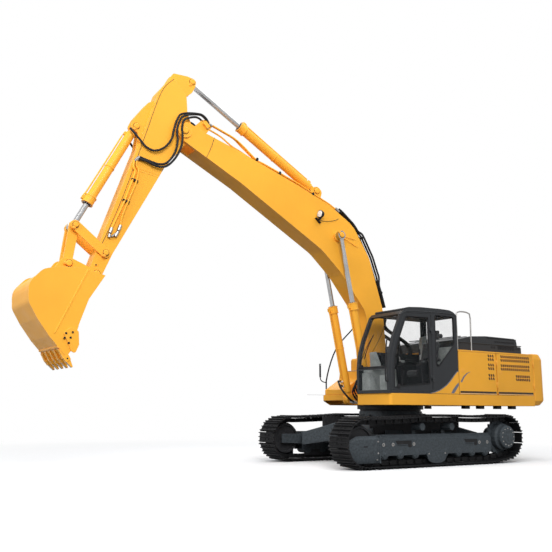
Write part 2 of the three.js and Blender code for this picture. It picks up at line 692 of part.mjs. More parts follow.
function rearSideWindow(inset = 0) {
  const rear = CAB_REAR + 90 + inset;
  const front = DOOR_REAR - 120 - inset;
  const high = CAB_ROOF - 110 - inset;
  return outline([
    [front, high, 40], [rear, high, 60], [rear, CAB_ROOF - 720 + inset, 120],
    [front, CAB_FLOOR + 480 + inset * 2, 60],
  ]);
}

function paneLines() {
  const line = cabLine();
  const bar0 = line[0].clone().lerp(line[1], 0.12);
  const bar1 = line[0].clone().lerp(line[1], 0.94);
  const bar2 = line[1].clone().lerp(line[2], 0.12);
  return { lower: [bar0, bar1], upper: [bar2, line[2], line[3], line[4].clone().lerp(line[3], 0.02)] };
}

function buildCab() {
  const outer = cabProfile();
  const inner = insetLoop(outer, CAB_WALL);
  const hollow = plate(inner, CAB_RIGHT + CAB_WALL, CAB_LEFT - CAB_WALL);
  const shell = cut(plate(outer, CAB_RIGHT, CAB_LEFT), hollow);
  const panes = paneLines();
  const openings = [
    plate(doorOutline(0), CAB_LEFT - CAB_WALL - 20, CAB_LEFT + 20),
    plate(rearSideWindow(), CAB_LEFT - CAB_WALL - 20, CAB_LEFT + 20),
    plate(rightWindow(), CAB_RIGHT - 20, CAB_RIGHT + CAB_WALL + 20),
    plate(strip(panes.lower, 20, -CAB_WALL - 30), CAB_RIGHT + CAB_JAMB, CAB_LEFT - CAB_JAMB),
    plate(strip(panes.upper, 20, -CAB_WALL - 30), CAB_RIGHT + CAB_JAMB, CAB_LEFT - CAB_JAMB),
    box(CAB_REAR - 20, CAB_REAR + CAB_WALL + 20, CAB_RIGHT + 90, CAB_LEFT - 90,
      CAB_ROOF - 700, CAB_ROOF - 130),
  ];
  return join(cut(shell, ...openings), ...cabHingeBrackets());
}

function rightWindow(inset = 0) {
  const front = insetLoop(cabProfile(), 90 + inset).slice(1, 5);
  front[0].y = CAB_FLOOR + 560 + inset;
  return [vec(CAB_REAR + 100 + inset, CAB_FLOOR + 560 + inset), ...front,
    vec(CAB_FRONT - 520, CAB_ROOF - 120 - inset), vec(CAB_REAR + 100 + inset, CAB_ROOF - 120 - inset)];
}

const DOOR_HINGE_Y = CAB_LEFT + 22;
const DOOR_KNUCKLES = [CAB_FLOOR + 260, CAB_ROOF - 520];

function buildCabDoor() {
  const face = CAB_LEFT - 4;
  const frame = cut(
    plate(doorOutline(MOVE_GAP), face - DOOR_THICKNESS, face),
    plate(doorWindow(), face - DOOR_THICKNESS - 10, face + 10),
  );
  const knuckles = DOOR_KNUCKLES.map((z) => {
    const z0 = z + KNUCKLE_LENGTH + RUN_GAP;
    return join(uprightPin(DOOR_REAR, DOOR_HINGE_Y, z0, z0 + KNUCKLE_LENGTH, KNUCKLE_RADIUS),
      box(DOOR_REAR, DOOR_REAR + 55, face - 10, DOOR_HINGE_Y, z0, z0 + KNUCKLE_LENGTH));
  });
  return join(frame, ...knuckles);
}

function cabHingeBrackets() {
  return DOOR_KNUCKLES.map((z) => join(
    uprightPin(DOOR_REAR, DOOR_HINGE_Y, z, z + KNUCKLE_LENGTH, KNUCKLE_RADIUS),
    box(DOOR_REAR - 60, DOOR_REAR, CAB_LEFT - 10, DOOR_HINGE_Y, z, z + KNUCKLE_LENGTH),
  ));
}

const paneAt = (points, middle) => plate(points, middle - GLASS / 2, middle + GLASS / 2);

function buildSeatStand() {
  const middle = (CAB_RIGHT + CAB_LEFT) / 2;
  const floor = CAB_FLOOR + CAB_WALL + SEAT_GAP;
  const base = box(SEAT_X - 220, SEAT_X + 230, middle - 210, middle + 210, floor, floor + SEAT_STAND);
  const consoles = [-1, 1].map((side) => {
    const y = middle + side * 315;
    const side0 = outline([
      [SEAT_X - 260, floor], [SEAT_X + 330, floor], [SEAT_X + 400, floor + 560, 60],
      [SEAT_X + 250, floor + 640, 60], [SEAT_X - 260, floor + 560, 40],
    ], 3);
    return plate(side0, y - 75, y + 75);
  });
  const bridge = box(SEAT_X - 200, SEAT_X + 200, middle - 250, middle + 250, floor, floor + 60);
  return join(base, bridge, ...consoles);
}

function buildCushion() {
  const middle = (CAB_RIGHT + CAB_LEFT) / 2;
  const low = CAB_FLOOR + CAB_WALL + SEAT_STAND + 2 * SEAT_GAP;
  const top = low + CUSHION_HEIGHT;
  const side = outline([[-290, low, 40], [220, low, 50], [230, top + 20, 50], [-290, top]], 3);
  return plate(side, middle - CUSHION_HALF, middle + CUSHION_HALF);
}

function buildBackrest() {
  const middle = (CAB_RIGHT + CAB_LEFT) / 2;
  const low = CAB_FLOOR + CAB_WALL + SEAT_STAND + 3 * SEAT_GAP + CUSHION_HEIGHT;
  const side = outline([
    [-175, low + 4.5], [-280, low + 0.5], [-430, low + 640, 60], [-330, low + 680, 50],
  ], 3);
  return plate(side, middle - BACKREST_HALF, middle + BACKREST_HALF);
}

function buildCabGroup(house) {
  place(house, 'cab', buildCab(), 'charcoal');
  const gap = SEAT_GAP;
  const jamb = CAB_JAMB + gap;
  const { lower, upper } = paneLines();
  const short = (line) => {
    const first = line[0].clone().addScaledVector(line[1].clone().sub(line[0]).normalize(), gap);
    const end = line.at(-1).clone().addScaledVector(line.at(-2).clone().sub(line.at(-1)).normalize(), gap);
    return [first, ...line.slice(1, -1), end];
  };
  const front = (line) => plate(strip(short(line), -14, -14 - GLASS), CAB_RIGHT + jamb, CAB_LEFT - jamb);
  place(house, 'windshield_upper', front(upper), 'glass');
  place(house, 'windshield_lower', front(lower), 'glass');
  place(house, 'rear_side_glass', paneAt(rearSideWindow(gap), CAB_LEFT - 18), 'glass');
  place(house, 'right_glass', paneAt(rightWindow(gap), CAB_RIGHT + 18), 'glass');
  place(house, 'rear_glass', box(CAB_REAR + 15, CAB_REAR + 15 + GLASS, CAB_RIGHT + 90 + gap,
    CAB_LEFT - 90 - gap, CAB_ROOF - 700 + gap, CAB_ROOF - 130 - gap), 'glass');
  place(house, 'seat_stand', buildSeatStand(), 'dark');
  place(house, 'seat_cushion', buildCushion(), 'fabric');
  place(house, 'seat_backrest', buildBackrest(), 'fabric');
  const hinge = pivot(house, 'cab_door_hinge', DOOR_REAR, 0, 0, DOOR_HINGE_Y);
  const door = (solid) => solid.translate([-DOOR_REAR, -DOOR_HINGE_Y, 0]);
  place(hinge, 'cab_door', door(buildCabDoor()), 'charcoal');
  place(hinge, 'cab_door_glass', door(paneAt(insetLoop(doorWindow(), gap), CAB_LEFT - 20)), 'glass');
}

// ---------------------------------------------------------------- cylinders
// Each cylinder lies along its group's +X from the barrel's pin; the rod slides in the barrel's bore.
function buildBarrel({ closed, barrelRadius, rodRadius, eyeRadius, eyeHalf, headBack }) {
  const end = closed - headBack;
  const start = eyeRadius + 75;
  const bore = (rodRadius + RUN_GAP) / Math.cos(Math.PI / BARREL_SIDES);
  const profile = [
    [0, start], [barrelRadius, start], [barrelRadius, end - GLAND], [barrelRadius + 18, end - GLAND],
    [barrelRadius + 18, end], [bore, end], [bore, start + 30], [0, start + 30],
  ].map(([r, x]) => vec(r, x));
  const body = solidOf(new THREE.LatheGeometry(profile, BARREL_SIDES).rotateZ(-Math.PI / 2));
  const neck = box(0, start + 10, -eyeHalf + 5, eyeHalf - 5, -eyeRadius * 0.6, eyeRadius * 0.6);
  return join(body, neck, bar(eyeRadius, -eyeHalf, eyeHalf));
}

function buildRod({ closed, rodRadius, eyeRadius, eyeHalf }) {
  const length = closed - eyeRadius - 75 - 45;
  const stem = solidOf(new THREE.CylinderGeometry(rodRadius, rodRadius, length, 14)
    .rotateZ(-Math.PI / 2).translate(-length / 2, 0, 0));
  return join(stem, bar(eyeRadius, -eyeHalf, eyeHalf));
}

// Adds barrel and rod between two pins given in the parent's own frame.
function placeCylinder(parent, name, build, foot, head, offsets = { '': 0 }) {
  const along = head.clone().sub(foot);
  const sizes = { ...build, closed: along.length() - build.drawn };
  const barrel = pivot(parent, `${name}_foot`, foot.x, foot.y, along.angle());
  const rod = pivot(barrel, `${name}_head`, along.length(), 0);
  Object.entries(offsets).forEach(([suffix, y]) => {
    place(barrel, `${name}_barrel${suffix}`, buildBarrel(sizes).translate([0, y, 0]), 'yellow');
    place(rod, `${name}_rod${suffix}`, buildRod(sizes).translate([0, y, 0]), 'chrome');
  });
}

// ---------------------------------------------------------------- boom
// In the boom's frame X runs from the foot pin to the arm pin and Z is square to it.
function boomOutline() {
  const tip = BOOM_LENGTH;
  return outline([
    [-165, -165, 160], [120, -165, 120], [1010, 640, 500], [2050, 790, 700], [2750, 780, 900],
    [tip - 1527, 251], [tip - 120, -165, 140], [tip + 165, -160, 155], [tip + 120, 175, 120],
    [tip - 300, 345, 200], [tip - 1083, 735, 500], [4140, 1345, 500], [3300, 1690, 500],
    [2560, 1850, 700], [1750, 1640, 700], [740, 1060, 500], [-140, 240, 300],
  ], 4);
}

function buildBoom() {
  const tip = BOOM_LENGTH;
  const body = plate(boomOutline(), -BOOM_HALF, BOOM_HALF);
  const fork = box(tip - FORK_DEPTH, tip + 400, -FORK_INNER, FORK_INNER, -600, 900);
  const base = CROWD_BASE;
  const lug = outline([[base.x - 300, 1450], [base.x - 100, base.y + 98, 90],
    [base.x + 98, base.y + 98, 90], [base.x + 98, base.y - 90, 60], [base.x + 230, 1330]]);
  const pieces = [bar(165, -BOOM_BOSS, BOOM_BOSS), bar(150, -BOOM_BOSS - 10, -FORK_INNER, tip, 0),
    bar(150, FORK_INNER, BOOM_BOSS + 10, tip, 0)];
  const boss = LIFT_OFFSET - LIFT_EYE_HALF - RUN_GAP;
  [-1, 1].forEach((side) => {
    pieces.push(plate(lug, ...band(side, EYE_CHEEK, 105)));
    pieces.push(bar(115, ...band(side, BOOM_HALF - 35, boss), LIFT_HEAD.x, LIFT_HEAD.y));
  });
  return join(cut(body, fork), ...pieces);
}

// ---------------------------------------------------------------- arm and linkage
// In the arm's frame X runs from the boom pin to the bucket pin and Z is its front side.
function armOutline() {
  const tip = ARM_LENGTH;
  return outline([
    [-700, 312, 40], [-420, 130, 100], [-160, -165, 100], [200, -165, 150], [900, -60, 300],
    [tip - 500, -75, 300], [tip - 80, -112, 60], [tip + 112, -112, 108], [tip + 112, 112, 100],
    [tip - 400, 205, 150], [600, 622, 300], [-395, 815, 200], [-850, 745, 60],
  ]);
}

function buildArm() {
  const tip = ARM_LENGTH;
  const pair = (line, far) => [-1, 1].map((side) => plate(line, ...band(side, EYE_CHEEK, far)));
  const rearLug = outline([[-600, 350], [-880, 245, 60], [CROWD_HEAD.x + 60, CROWD_HEAD.y - 105, 60],
    [CROWD_HEAD.x - 100, CROWD_HEAD.y - 60, 80], [CROWD_HEAD.x - 30, CROWD_HEAD.y + 140, 60], [-960, 765, 60],
    [-600, 770]]);
  const base = CURL_BASE;
  const frontLug = outline([[-300, 700], [-60, base.y + 60, 150], [base.x - 120, base.y + 118, 200],
    [base.x + 95, base.y + 105, 90], [base.x + 100, base.y - 95, 60], [base.x + 560, 520]]);
  return join(
    plate(armOutline(), -ARM_HALF, ARM_HALF),
    bar(160, -FORK_INNER + RUN_GAP, FORK_INNER - RUN_GAP),
    bar(112, -EAR_INNER + RUN_GAP, EAR_INNER - RUN_GAP, tip, 0),
    bar(90, -FORK_INNER + RUN_GAP, FORK_INNER - RUN_GAP, LINK_PIVOT.x, LINK_PIVOT.y),
    ...pair(rearLug, 105),
    ...pair(frontLug, 100),
  );
}

function buildArmLink(side) {
  const along = LINK_TOP.clone().sub(LINK_PIVOT).length();
  const cap = band(side, FORK_INNER + 25, FORK_INNER + 48);
  const strap = outline([[-88, -88, 85], [along + 88, -88, 85], [along + 88, 88, 85], [-88, 88, 85]]);
  const body = plate(strap, ...band(side, FORK_INNER, FORK_INNER + 30));
  return join(body, bar(55, ...cap), bar(55, ...cap, along, 0));
}

// In the bucket link's frame X runs from the top pin to the ear pin.
function buildBucketLink() {
  const along = EAR_PIN.clone().sub(LINK_TOP).length();
  const strap = outline([[-95, -90, 88], [along, -80], [along, 80], [-95, 90, 88]]);
  const plates = [-1, 1].map((side) => join(
    plate(strap, ...band(side, 75.5, 130)),
    bar(92, ...band(side, 75.5, FORK_INNER - RUN_GAP)),
  ));
  return join(
    bar(96, -EAR_INNER + RUN_GAP, EAR_INNER - RUN_GAP, along, 0),
    box(along - 230, along, -100, 100, -60, 60),
    ...plates,
  );
}

// ---------------------------------------------------------------- bucket
// In the bucket's frame the origin is its pin and the axes are the machine's, as the bucket hangs.
const bucketShellLine = () => outline([
  [545, -1510], [850, -1180], [1060, -900, 200], [1215, -640, 200], [1235, -330, 250],
  [1010, -105, 200], [760, -118, 100], [50, -135],
]);

// The side plates stand above the top of the shell, up to the level of the ears.
const bucketSideLine = () => outline([
  [545, -1510], [850, -1180], [1060, -900, 200], [1215, -640, 200], [1235, -330, 250],
  [1010, -75, 200], [720, 0, 150], [350, 5, 100], [-50, -80], [220, -520], [360, -940], [470, -1400],
]);

function buildTooth(y) {
  const lip = vec(545, -1510);
  const along = vec(-0.56, -0.83).normalize();
  const across = vec(along.y, -along.x);
  const at = (u, w) => lip.clone().addScaledVector(along, u).addScaledVector(across, w);
  const side = [at(-150, 38), at(-150, -48), at(70, -42), at(200, -8), at(200, 10), at(70, 36)];
  return plate(side, y - 42, y + 42);
}

function buildBucket() {
  const line = bucketShellLine();
  const half = BUCKET_HALF;
  const wall = plate(strip(line, 0, -BUCKET_PLATE), -half, half);
  const cutter = outline([[620, -1120, 20], [510, -1020, 30], [370, -1070, 40], [350, -1300, 40],
    [410, -1450, 30], [480, -1410, 20], [520, -1310, 20]], 3);
  const ear = outline([[-112, -112, 60], [-112, 112, 108], [150, 112, 80],
    [BUCKET_PIN_TO_EAR.x - 60, BUCKET_PIN_TO_EAR.y + 95, 80],
    [BUCKET_PIN_TO_EAR.x + 105, BUCKET_PIN_TO_EAR.y + 95, 90], [800, -60], [740, -60], [100, -140]]);
  const pieces = [];
  [-1, 1].forEach((side) => {
    pieces.push(plate(bucketSideLine(), ...band(side, half - BUCKET_PLATE, half)));
    pieces.push(plate(cutter, ...band(side, half - 5, half + 22)));
    pieces.push(plate(ear, ...band(side, EAR_INNER, EAR_INNER + EAR_THICKNESS)));
    pieces.push(bar(60, ...band(side, EAR_INNER + 40, EAR_INNER + EAR_THICKNESS + 25), 0, 0, 16));
    pieces.push(bar(60, ...band(side, EAR_INNER + 40, EAR_INNER + EAR_THICKNESS + 25),
      BUCKET_PIN_TO_EAR.x, BUCKET_PIN_TO_EAR.y, 16));
  });
  const pitch = (2 * half - 100) / (TOOTH_COUNT - 1);
  for (let i = 0; i < TOOTH_COUNT; i += 1) pieces.push(buildTooth(-half + 50 + i * pitch));
  return join(wall, ...pieces);
}

// ---------------------------------------------------------------- assembly
function buildArmGroup(boomTip) {
  const arm = pivot(boomTip, 'arm_pivot', BOOM_LENGTH, 0, rad(ARM_ANGLE - BOOM_ANGLE));
  place(arm, 'arm', buildArm(), 'yellow');
  const eyeHalf = CYLINDER_EYE_HALF;
  const curl = { drawn: CURL_DRAWN, barrelRadius: 88, rodRadius: 52, eyeRadius: 92, eyeHalf, headBack: 200 };
  placeCylinder(arm, 'bucket_cylinder', curl, CURL_BASE, LINK_TOP);
  const across = LINK_TOP.clone().sub(LINK_PIVOT);
  const link = pivot(arm, 'arm_link_pivot', LINK_PIVOT.x, LINK_PIVOT.y, across.angle());
  place(link, 'arm_link_left', buildArmLink(1), 'yellow');
  place(link, 'arm_link_right', buildArmLink(-1), 'yellow');
  const down = EAR_PIN.clone().sub(LINK_TOP);
  const bucketLink = pivot(link, 'bucket_link_pivot', across.length(), 0, down.angle() - across.angle());
  place(bucketLink, 'bucket_link', buildBucketLink(), 'yellow');
  const bucket = pivot(arm, 'bucket_pivot', ARM_LENGTH, 0, rad(-ARM_ANGLE));
  place(bucket, 'bucket', buildBucket(), 'yellow');
}

function buildBoomGroup(house) {
  const boom = pivot(house, 'boom_pivot', BOOM_FOOT.x, BOOM_FOOT.y, rad(BOOM_ANGLE));
  place(boom, 'boom', buildBoom(), 'yellow');
  const head = LIFT_HEAD.clone().rotateAround(vec(0, 0), rad(BOOM_ANGLE)).add(BOOM_FOOT);
  const lift = {
    drawn: LIFT_DRAWN, barrelRadius: 84, rodRadius: 50, eyeRadius: 98, eyeHalf: LIFT_EYE_HALF, headBack: 370,
  };
  placeCylinder(house, 'boom_cylinder', lift, LIFT_FOOT, head, { _left: LIFT_OFFSET, _right: -LIFT_OFFSET });
  const bend = rad(ARM_ANGLE - BOOM_ANGLE);
  const lug = CROWD_HEAD.clone().rotateAround(vec(0, 0), bend).add(vec(BOOM_LENGTH, 0));
  const eyeHalf = CYLINDER_EYE_HALF;
  const crowd = { drawn: CROWD_DRAWN, barrelRadius: 98, rodRadius: 57, eyeRadius: 96, eyeHalf, headBack: 200 };
  placeCylinder(boom, 'arm_cylinder', crowd, CROWD_BASE, lug);
  buildArmGroup(boom);
}

function buildBody(house) {
  place(house, 'revolving_frame', buildRevolvingFrame(), 'yellow');
  place(house, 'slewing_ring', buildSlewRing(), 'steel');
  place(house, 'deck_left', buildDeck(1), 'yellow');
  place(house, 'deck_right', buildDeck(-1), 'yellow');
  place(house, 'counterweight', buildCounterweight(), 'yellow');
  place(house, 'body_frame', buildBodyFrame(), 'yellow');
  place(house, 'engine_block', box(-2700, -1950, -700, 700, DECK_TOP + SEAT_GAP, 2250), 'cast');
  const valves = box(-1500, -150, 5 - BOOM_BOSS, BOOM_BOSS - 5, DECK_BOTTOM + 35 + SEAT_GAP, 2050);
  place(house, 'valve_cover', valves, 'dark');
  place(house, 'hydraulic_tank', buildTank(DOOR_SPLIT + MOVE_GAP, -1000, BODY_TOP - 20), 'yellow');
  place(house, 'fuel_tank', buildTank(-1000 + SEAT_GAP, -60, BODY_TOP - 60), 'yellow');
  place(house, 'toolbox', buildToolbox(-60 + SEAT_GAP), 'yellow');
  place(house, 'mirror_rail', buildMirrorRail(), 'dark');
  place(house, 'handrail', buildHandrail(), 'yellow');
  const hood = pivot(house, 'engine_hood_hinge', BODY_FRONT - 300, BODY_TOP);
  place(hood, 'engine_hood', buildHood(), 'dark');
  const doors = [
    ['left_front_door', DOOR_SPLIT, BODY_FRONT, 1],
    ['left_rear_door', BODY_REAR, DOOR_SPLIT, 1],
    ['right_rear_door', BODY_REAR, DOOR_SPLIT, -1],
  ];
  doors.forEach(([name, rear, front, side]) => {
    const hinge = pivot(house, `${name}_hinge`, rear, 0, 0, side * (UPPER_HALF + HINGE_OUT));
    place(hinge, name, buildSideDoor(front - rear - KNUCKLE_RADIUS - MOVE_GAP, side), 'yellow');
  });
}

function buildHandrail() {
  const y = UPPER_HALF - 90;
  const foot = BODY_TOP + SEAT_GAP;
  const x0 = BODY_FRONT - 90;
  const x1 = x0 - 440;
  const top = foot + 850;
  const points = [[x0, foot], [x0, foot + 400], [x0, top - 90], [x0 - 22, top - 22], [x0 - 90, top],
    [x1 + 90, top], [x1 + 22, top - 22], [x1, top - 90], [x1, foot + 400], [x1, foot]];
  return tube(points.map(([x, z]) => new THREE.Vector3(x, y, z)), 17, 8);
}

const machine = new THREE.Group();
buildUndercarriage(machine);
const house = pivot(machine, 'swing_pivot', 0, 0);
buildBody(house);
buildCabGroup(house);
buildBoomGroup(house);

// The origin is the middle of the base of the whole machine's box.
const extent = new THREE.Box3().setFromObject(machine, true);
machine.position.set(-(extent.min.x + extent.max.x) / 2, -(extent.min.y + extent.max.y) / 2, -extent.min.z);

const excavator = new THREE.Group();
excavator.name = 'crawler_excavator';
excavator.add(machine);

export default excavator;
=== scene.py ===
import json
import math

import bmesh
import bpy
from mathutils import Matrix, Vector


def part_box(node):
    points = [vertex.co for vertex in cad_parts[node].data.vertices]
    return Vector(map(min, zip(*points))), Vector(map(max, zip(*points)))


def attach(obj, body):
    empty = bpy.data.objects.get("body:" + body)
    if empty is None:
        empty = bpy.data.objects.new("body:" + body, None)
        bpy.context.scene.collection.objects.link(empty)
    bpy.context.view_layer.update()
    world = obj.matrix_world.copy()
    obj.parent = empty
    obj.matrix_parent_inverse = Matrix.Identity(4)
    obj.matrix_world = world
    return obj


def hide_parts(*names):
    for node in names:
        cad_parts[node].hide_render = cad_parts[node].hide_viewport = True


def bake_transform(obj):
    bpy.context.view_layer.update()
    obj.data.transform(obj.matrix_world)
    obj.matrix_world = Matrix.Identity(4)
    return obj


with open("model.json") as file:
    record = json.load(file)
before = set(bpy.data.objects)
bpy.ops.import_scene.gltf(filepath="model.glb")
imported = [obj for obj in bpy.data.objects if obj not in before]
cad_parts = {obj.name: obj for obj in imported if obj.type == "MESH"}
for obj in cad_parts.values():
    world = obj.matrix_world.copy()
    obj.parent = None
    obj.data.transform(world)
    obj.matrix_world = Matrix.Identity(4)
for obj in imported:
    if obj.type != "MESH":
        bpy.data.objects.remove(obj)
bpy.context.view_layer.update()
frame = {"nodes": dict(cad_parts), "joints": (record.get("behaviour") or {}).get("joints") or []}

bl_info = {
    "name": "Crawler Excavator Dressing",
    "version": (1, 0, 0),
    "blender": (4, 5, 0),
    "location": "View3D > Sidebar > Excavator",
    "description": "Dresses a packed crawler excavator with tracks, hoses, cab fittings and paint",
    "category": "Object",
}

SMOOTH_ANGLE = math.radians(32)
NODES = frame["nodes"]
JOINTS = {joint["name"]: joint for joint in frame["joints"]}


# ---- Places taken from the frame ----

def pivot(name):
    """Where a joint's axis crosses the machine's middle plane, in metres."""
    return Vector(JOINTS[name]["pos_m"])


def link_place(origin, angle):
    """The frame of a link: its X runs along the link, its Z stands square to it."""
    return Matrix.Translation(origin) @ Matrix.Rotation(-angle, 4, "Y")


def along_place(start, end):
    """The frame of a link that runs from one point to another."""
    run = end - start
    return link_place(start, math.atan2(run.z, run.x))


def stroke_place(foot, stroke):
    """The frame of a cylinder: X runs from its foot towards its rod."""
    axis = Vector(JOINTS[stroke]["axis"])
    return link_place(pivot(foot), math.atan2(axis.z, axis.x))


MACHINE = Matrix.Translation((pivot("swing").x, 0, 0))
BOOM = along_place(pivot("boom"), pivot("arm"))
ARM = along_place(pivot("arm"), pivot("bucket"))
BUCKET = Matrix.Translation(pivot("bucket"))
BOOM_LENGTH = (pivot("arm") - pivot("boom")).length
LIFT = stroke_place("boom_cylinder_foot", "boom_cylinder_stroke")
CROWD = stroke_place("arm_cylinder_foot", "arm_cylinder_stroke")
CURL = stroke_place("bucket_cylinder_foot", "bucket_cylinder_stroke")


def box_in(node, place):
    """A CAD node's lowest and highest corner in another frame."""
    back = place.inverted()
    points = [back @ vertex.co for vertex in NODES[node].data.vertices]
    low = Vector([min(point[i] for point in points) for i in range(3)])
    high = Vector([max(point[i] for point in points) for i in range(3)])
    return low, high


# ---- Settings ----

def colour(label, words, value):
    """A colour that a user may change."""
    return bpy.props.FloatVectorProperty(name=label, description=words, subtype="COLOR", size=3,
                                         min=0, max=1, default=value)


def length(label, words, value):
    """A size in metres that a user may change."""
    return bpy.props.FloatProperty(name=label, description=words, subtype="DISTANCE", unit="LENGTH",
                                   min=0, default=value)


class ExcavatorColours(bpy.types.PropertyGroup):
    """Colours of the machine's finishes"""

    paint: colour("Paint", "Bodywork, boom, arm and bucket", (0.95, 0.44, 0.04))
    cab: colour("Cab", "Cab shell and its door", (0.026, 0.028, 0.031))
    undercarriage: colour("Undercarriage", "Track frames and carbody", (0.058, 0.068, 0.076))
    track: colour("Track", "Shoes and links", (0.012, 0.012, 0.013))
    plastic: colour("Plastic", "Hood, trims and consoles", (0.012, 0.012, 0.014))
    # Besides real rubber, this black is used as painted shade in slots and holes and round pin caps.
    rubber: colour("Rubber", "Hoses, seals and mats", (0.012, 0.012, 0.013))
    steel: colour("Steel", "Pins, bolts and bare metal", (0.32, 0.31, 0.3))
    cloth: colour("Seat cloth", "Seat cover", (0.03, 0.031, 0.034))
    # The stripe colour also draws the dark lines of painted shade on the boom and arm.
    stripe: colour("Stripe", "Dark stripe along the doors", (0.05, 0.035, 0.02))
    lining: colour("Cab lining", "Panels inside the cab", (0.3, 0.32, 0.31))


class ExcavatorSizes(bpy.types.PropertyGroup):
    """Sizes of the fittings"""

    shoe_count: bpy.props.IntProperty(name="Shoes", description="Shoes on each track", min=30, default=48)
    grouser: length("Grouser", "Height of a shoe's bars over its plate", 0.036)
    hose: length("Hose", "Outer radius of a high-pressure hose", 0.019)
    pipe: length("Pipe", "Outer radius of a steel oil pipe", 0.017)
    bolt: length("Bolt", "Radius of a common bolt head", 0.017)
    rounding: length("Rounding", "Rounding of the frame's plate edges", 0.007)


def colours():
    """The colours in use."""
    return bpy.context.scene.excavator_colours


def sizes():
    """The sizes in use."""
    return bpy.context.scene.excavator_sizes


# ---- Materials ----

class Shader:
    """One material's nodes, added and joined by short calls."""

    def __init__(self, name):
        self.material = bpy.data.materials.new(name)
        self.material.use_nodes = True
        self.tree = self.material.node_tree
        self.surface = self.tree.nodes["Principled BSDF"]
        self.object = self.add("ShaderNodeTexCoord").outputs["Object"]

    def add(self, kind, values=None, **settings):
        """A node with its settings and plain input values."""
        node = self.tree.nodes.new(kind)
        for key, value in settings.items():
            setattr(node, key, value)
        for key, value in (values or {}).items():
            node.inputs[key].default_value = value
        return node

    def link(self, start, end):
        """Joins two sockets and gives back the second one's node."""
        self.tree.links.new(start, end)
        return end.node

    def set(self, **values):
        """Plain values on the surface shader."""
        for key, value in values.items():
            self.surface.inputs[key.replace("_", " ")].default_value = value

    def noise(self, scale, detail=3.0, rough=0.5, stretch=None):
        """Noise on the object's own coordinates, stretched if asked."""
        node = self.add("ShaderNodeTexNoise", {"Scale": scale, "Detail": detail, "Roughness": rough})
        source = self.object
        if stretch:
            mapping = self.add("ShaderNodeMapping", {"Scale": stretch})
            self.link(self.object, mapping.inputs["Vector"])
            source = mapping.outputs["Vector"]
        self.link(source, node.inputs["Vector"])
        return node.outputs["Fac"]

    def range(self, source, low, high, out_low=0.0, out_high=1.0):
        """A value taken from one range to another."""
        node = self.add("ShaderNodeMapRange", {"From Min": low, "From Max": high, "To Min": out_low,
                                               "To Max": out_high})
        self.link(source, node.inputs["Value"])
        return node.outputs["Result"]

    def mix(self, factor, first, second):
        """Two colours mixed by a factor."""
        node = self.add("ShaderNodeMix", data_type="RGBA")
        for socket, value in ((node.inputs[6], first), (node.inputs[7], second)):
            if isinstance(value, bpy.types.NodeSocket):
                self.link(value, socket)
            else:
                socket.default_value = (*value, 1)
        if isinstance(factor, bpy.types.NodeSocket):
            self.link(factor, node.inputs[0])
        else:
            node.inputs[0].default_value = factor
        return node.outputs[2]

    def math(self, operation, first, second=None):
        """One sum on values or sockets."""
        node = self.add("ShaderNodeMath", operation=operation)
        for socket, value in zip(node.inputs, (first, second)):
            if isinstance(value, bpy.types.NodeSocket):
                self.link(value, socket)
            elif value is not None:
                socket.default_value = value
        return node.outputs[0]

    def edges(self, radius, low, high):
        """1 on rounded edges and corners, 0 on flat faces."""
        bevel = self.add("ShaderNodeBevel", {"Radius": radius}, samples=4)
        normal = self.add("ShaderNodeNewGeometry").outputs["Normal"]
        dot = self.add("ShaderNodeVectorMath", operation="DOT_PRODUCT")
        self.link(bevel.outputs[0], dot.inputs[0])
        self.link(normal, dot.inputs[1])
        return self.range(dot.outputs["Value"], high, low)

    def bump(self, height, strength, distance):
        """Relief on the surface."""
        node = self.add("ShaderNodeBump", {"Strength": strength, "Distance": distance})
        self.link(height, node.inputs["Height"])
        self.link(node.outputs["Normal"], self.surface.inputs["Normal"])

    def finish(self, colour_source, roughness=None):
        """Joins colour and roughness to the surface and gives back the material."""
        self.link(colour_source, self.surface.inputs["Base Color"])
        if roughness is not None:
            self.link(roughness, self.surface.inputs["Roughness"])
        return self.material


def shade(value, factor):
    """A colour made lighter or darker."""
    return tuple(min(1.0, channel * factor) for channel in value)


def paint_material(name, tint, wear=0.35, gloss=0.4):
    """Sprayed enamel: faint cloudiness, orange peel, and paler edges that are a painted highlight."""
    make = Shader(name)
    cloud = make.range(make.noise(0.9, 5), 0.35, 0.7)
    body = make.mix(cloud, shade(tint, 0.93), shade(tint, 1.04))
    specks = make.range(make.noise(38, 6, 0.7), 0.62, 0.78, 0, 0.12)
    dusty = make.mix(specks, body, shade(tint, 0.6))
    # Painted highlight: rounded edges are mixed towards a paler tint; the wear argument sets how strong this
    # highlight is.
    painted_edge_highlight = make.math("MULTIPLY", make.edges(0.006, 0.86, 0.995), wear)
    edged = make.mix(painted_edge_highlight, dusty, tuple(0.45 + 0.55 * channel for channel in tint))
    make.set(Coat_Weight=0.06, Coat_Roughness=0.1, Specular_IOR_Level=0.16)
    make.bump(make.noise(420, 2), 0.05, 0.0006)
    return make.finish(edged, make.range(make.noise(5, 4), 0.3, 0.7, gloss, gloss + 0.14))


def cast_material(name, tint, wear=0.5, metal=0.0):
    """Rough cast or rolled metal under thin paint, brighter on its edges as rubbed metal and as a painted
    highlight.
    """
    make = Shader(name)
    grain = make.noise(26, 6, 0.65)
    body = make.mix(make.range(grain, 0.35, 0.7), shade(tint, 0.7), shade(tint, 1.35))
    # Edges mixed towards a much paler tint, partly rubbed bare metal and partly painted highlight.
    rubbed_and_highlight = make.math("MULTIPLY", make.edges(0.008, 0.8, 0.99), wear)
    make.set(Metallic=metal, Specular_IOR_Level=0.14)
    make.bump(make.noise(90, 5, 0.6), 0.25, 0.002)
    return make.finish(make.mix(rubbed_and_highlight, body, shade(tint, 4.5)), make.range(grain, 0.3, 0.7, 0.42, 0.66))


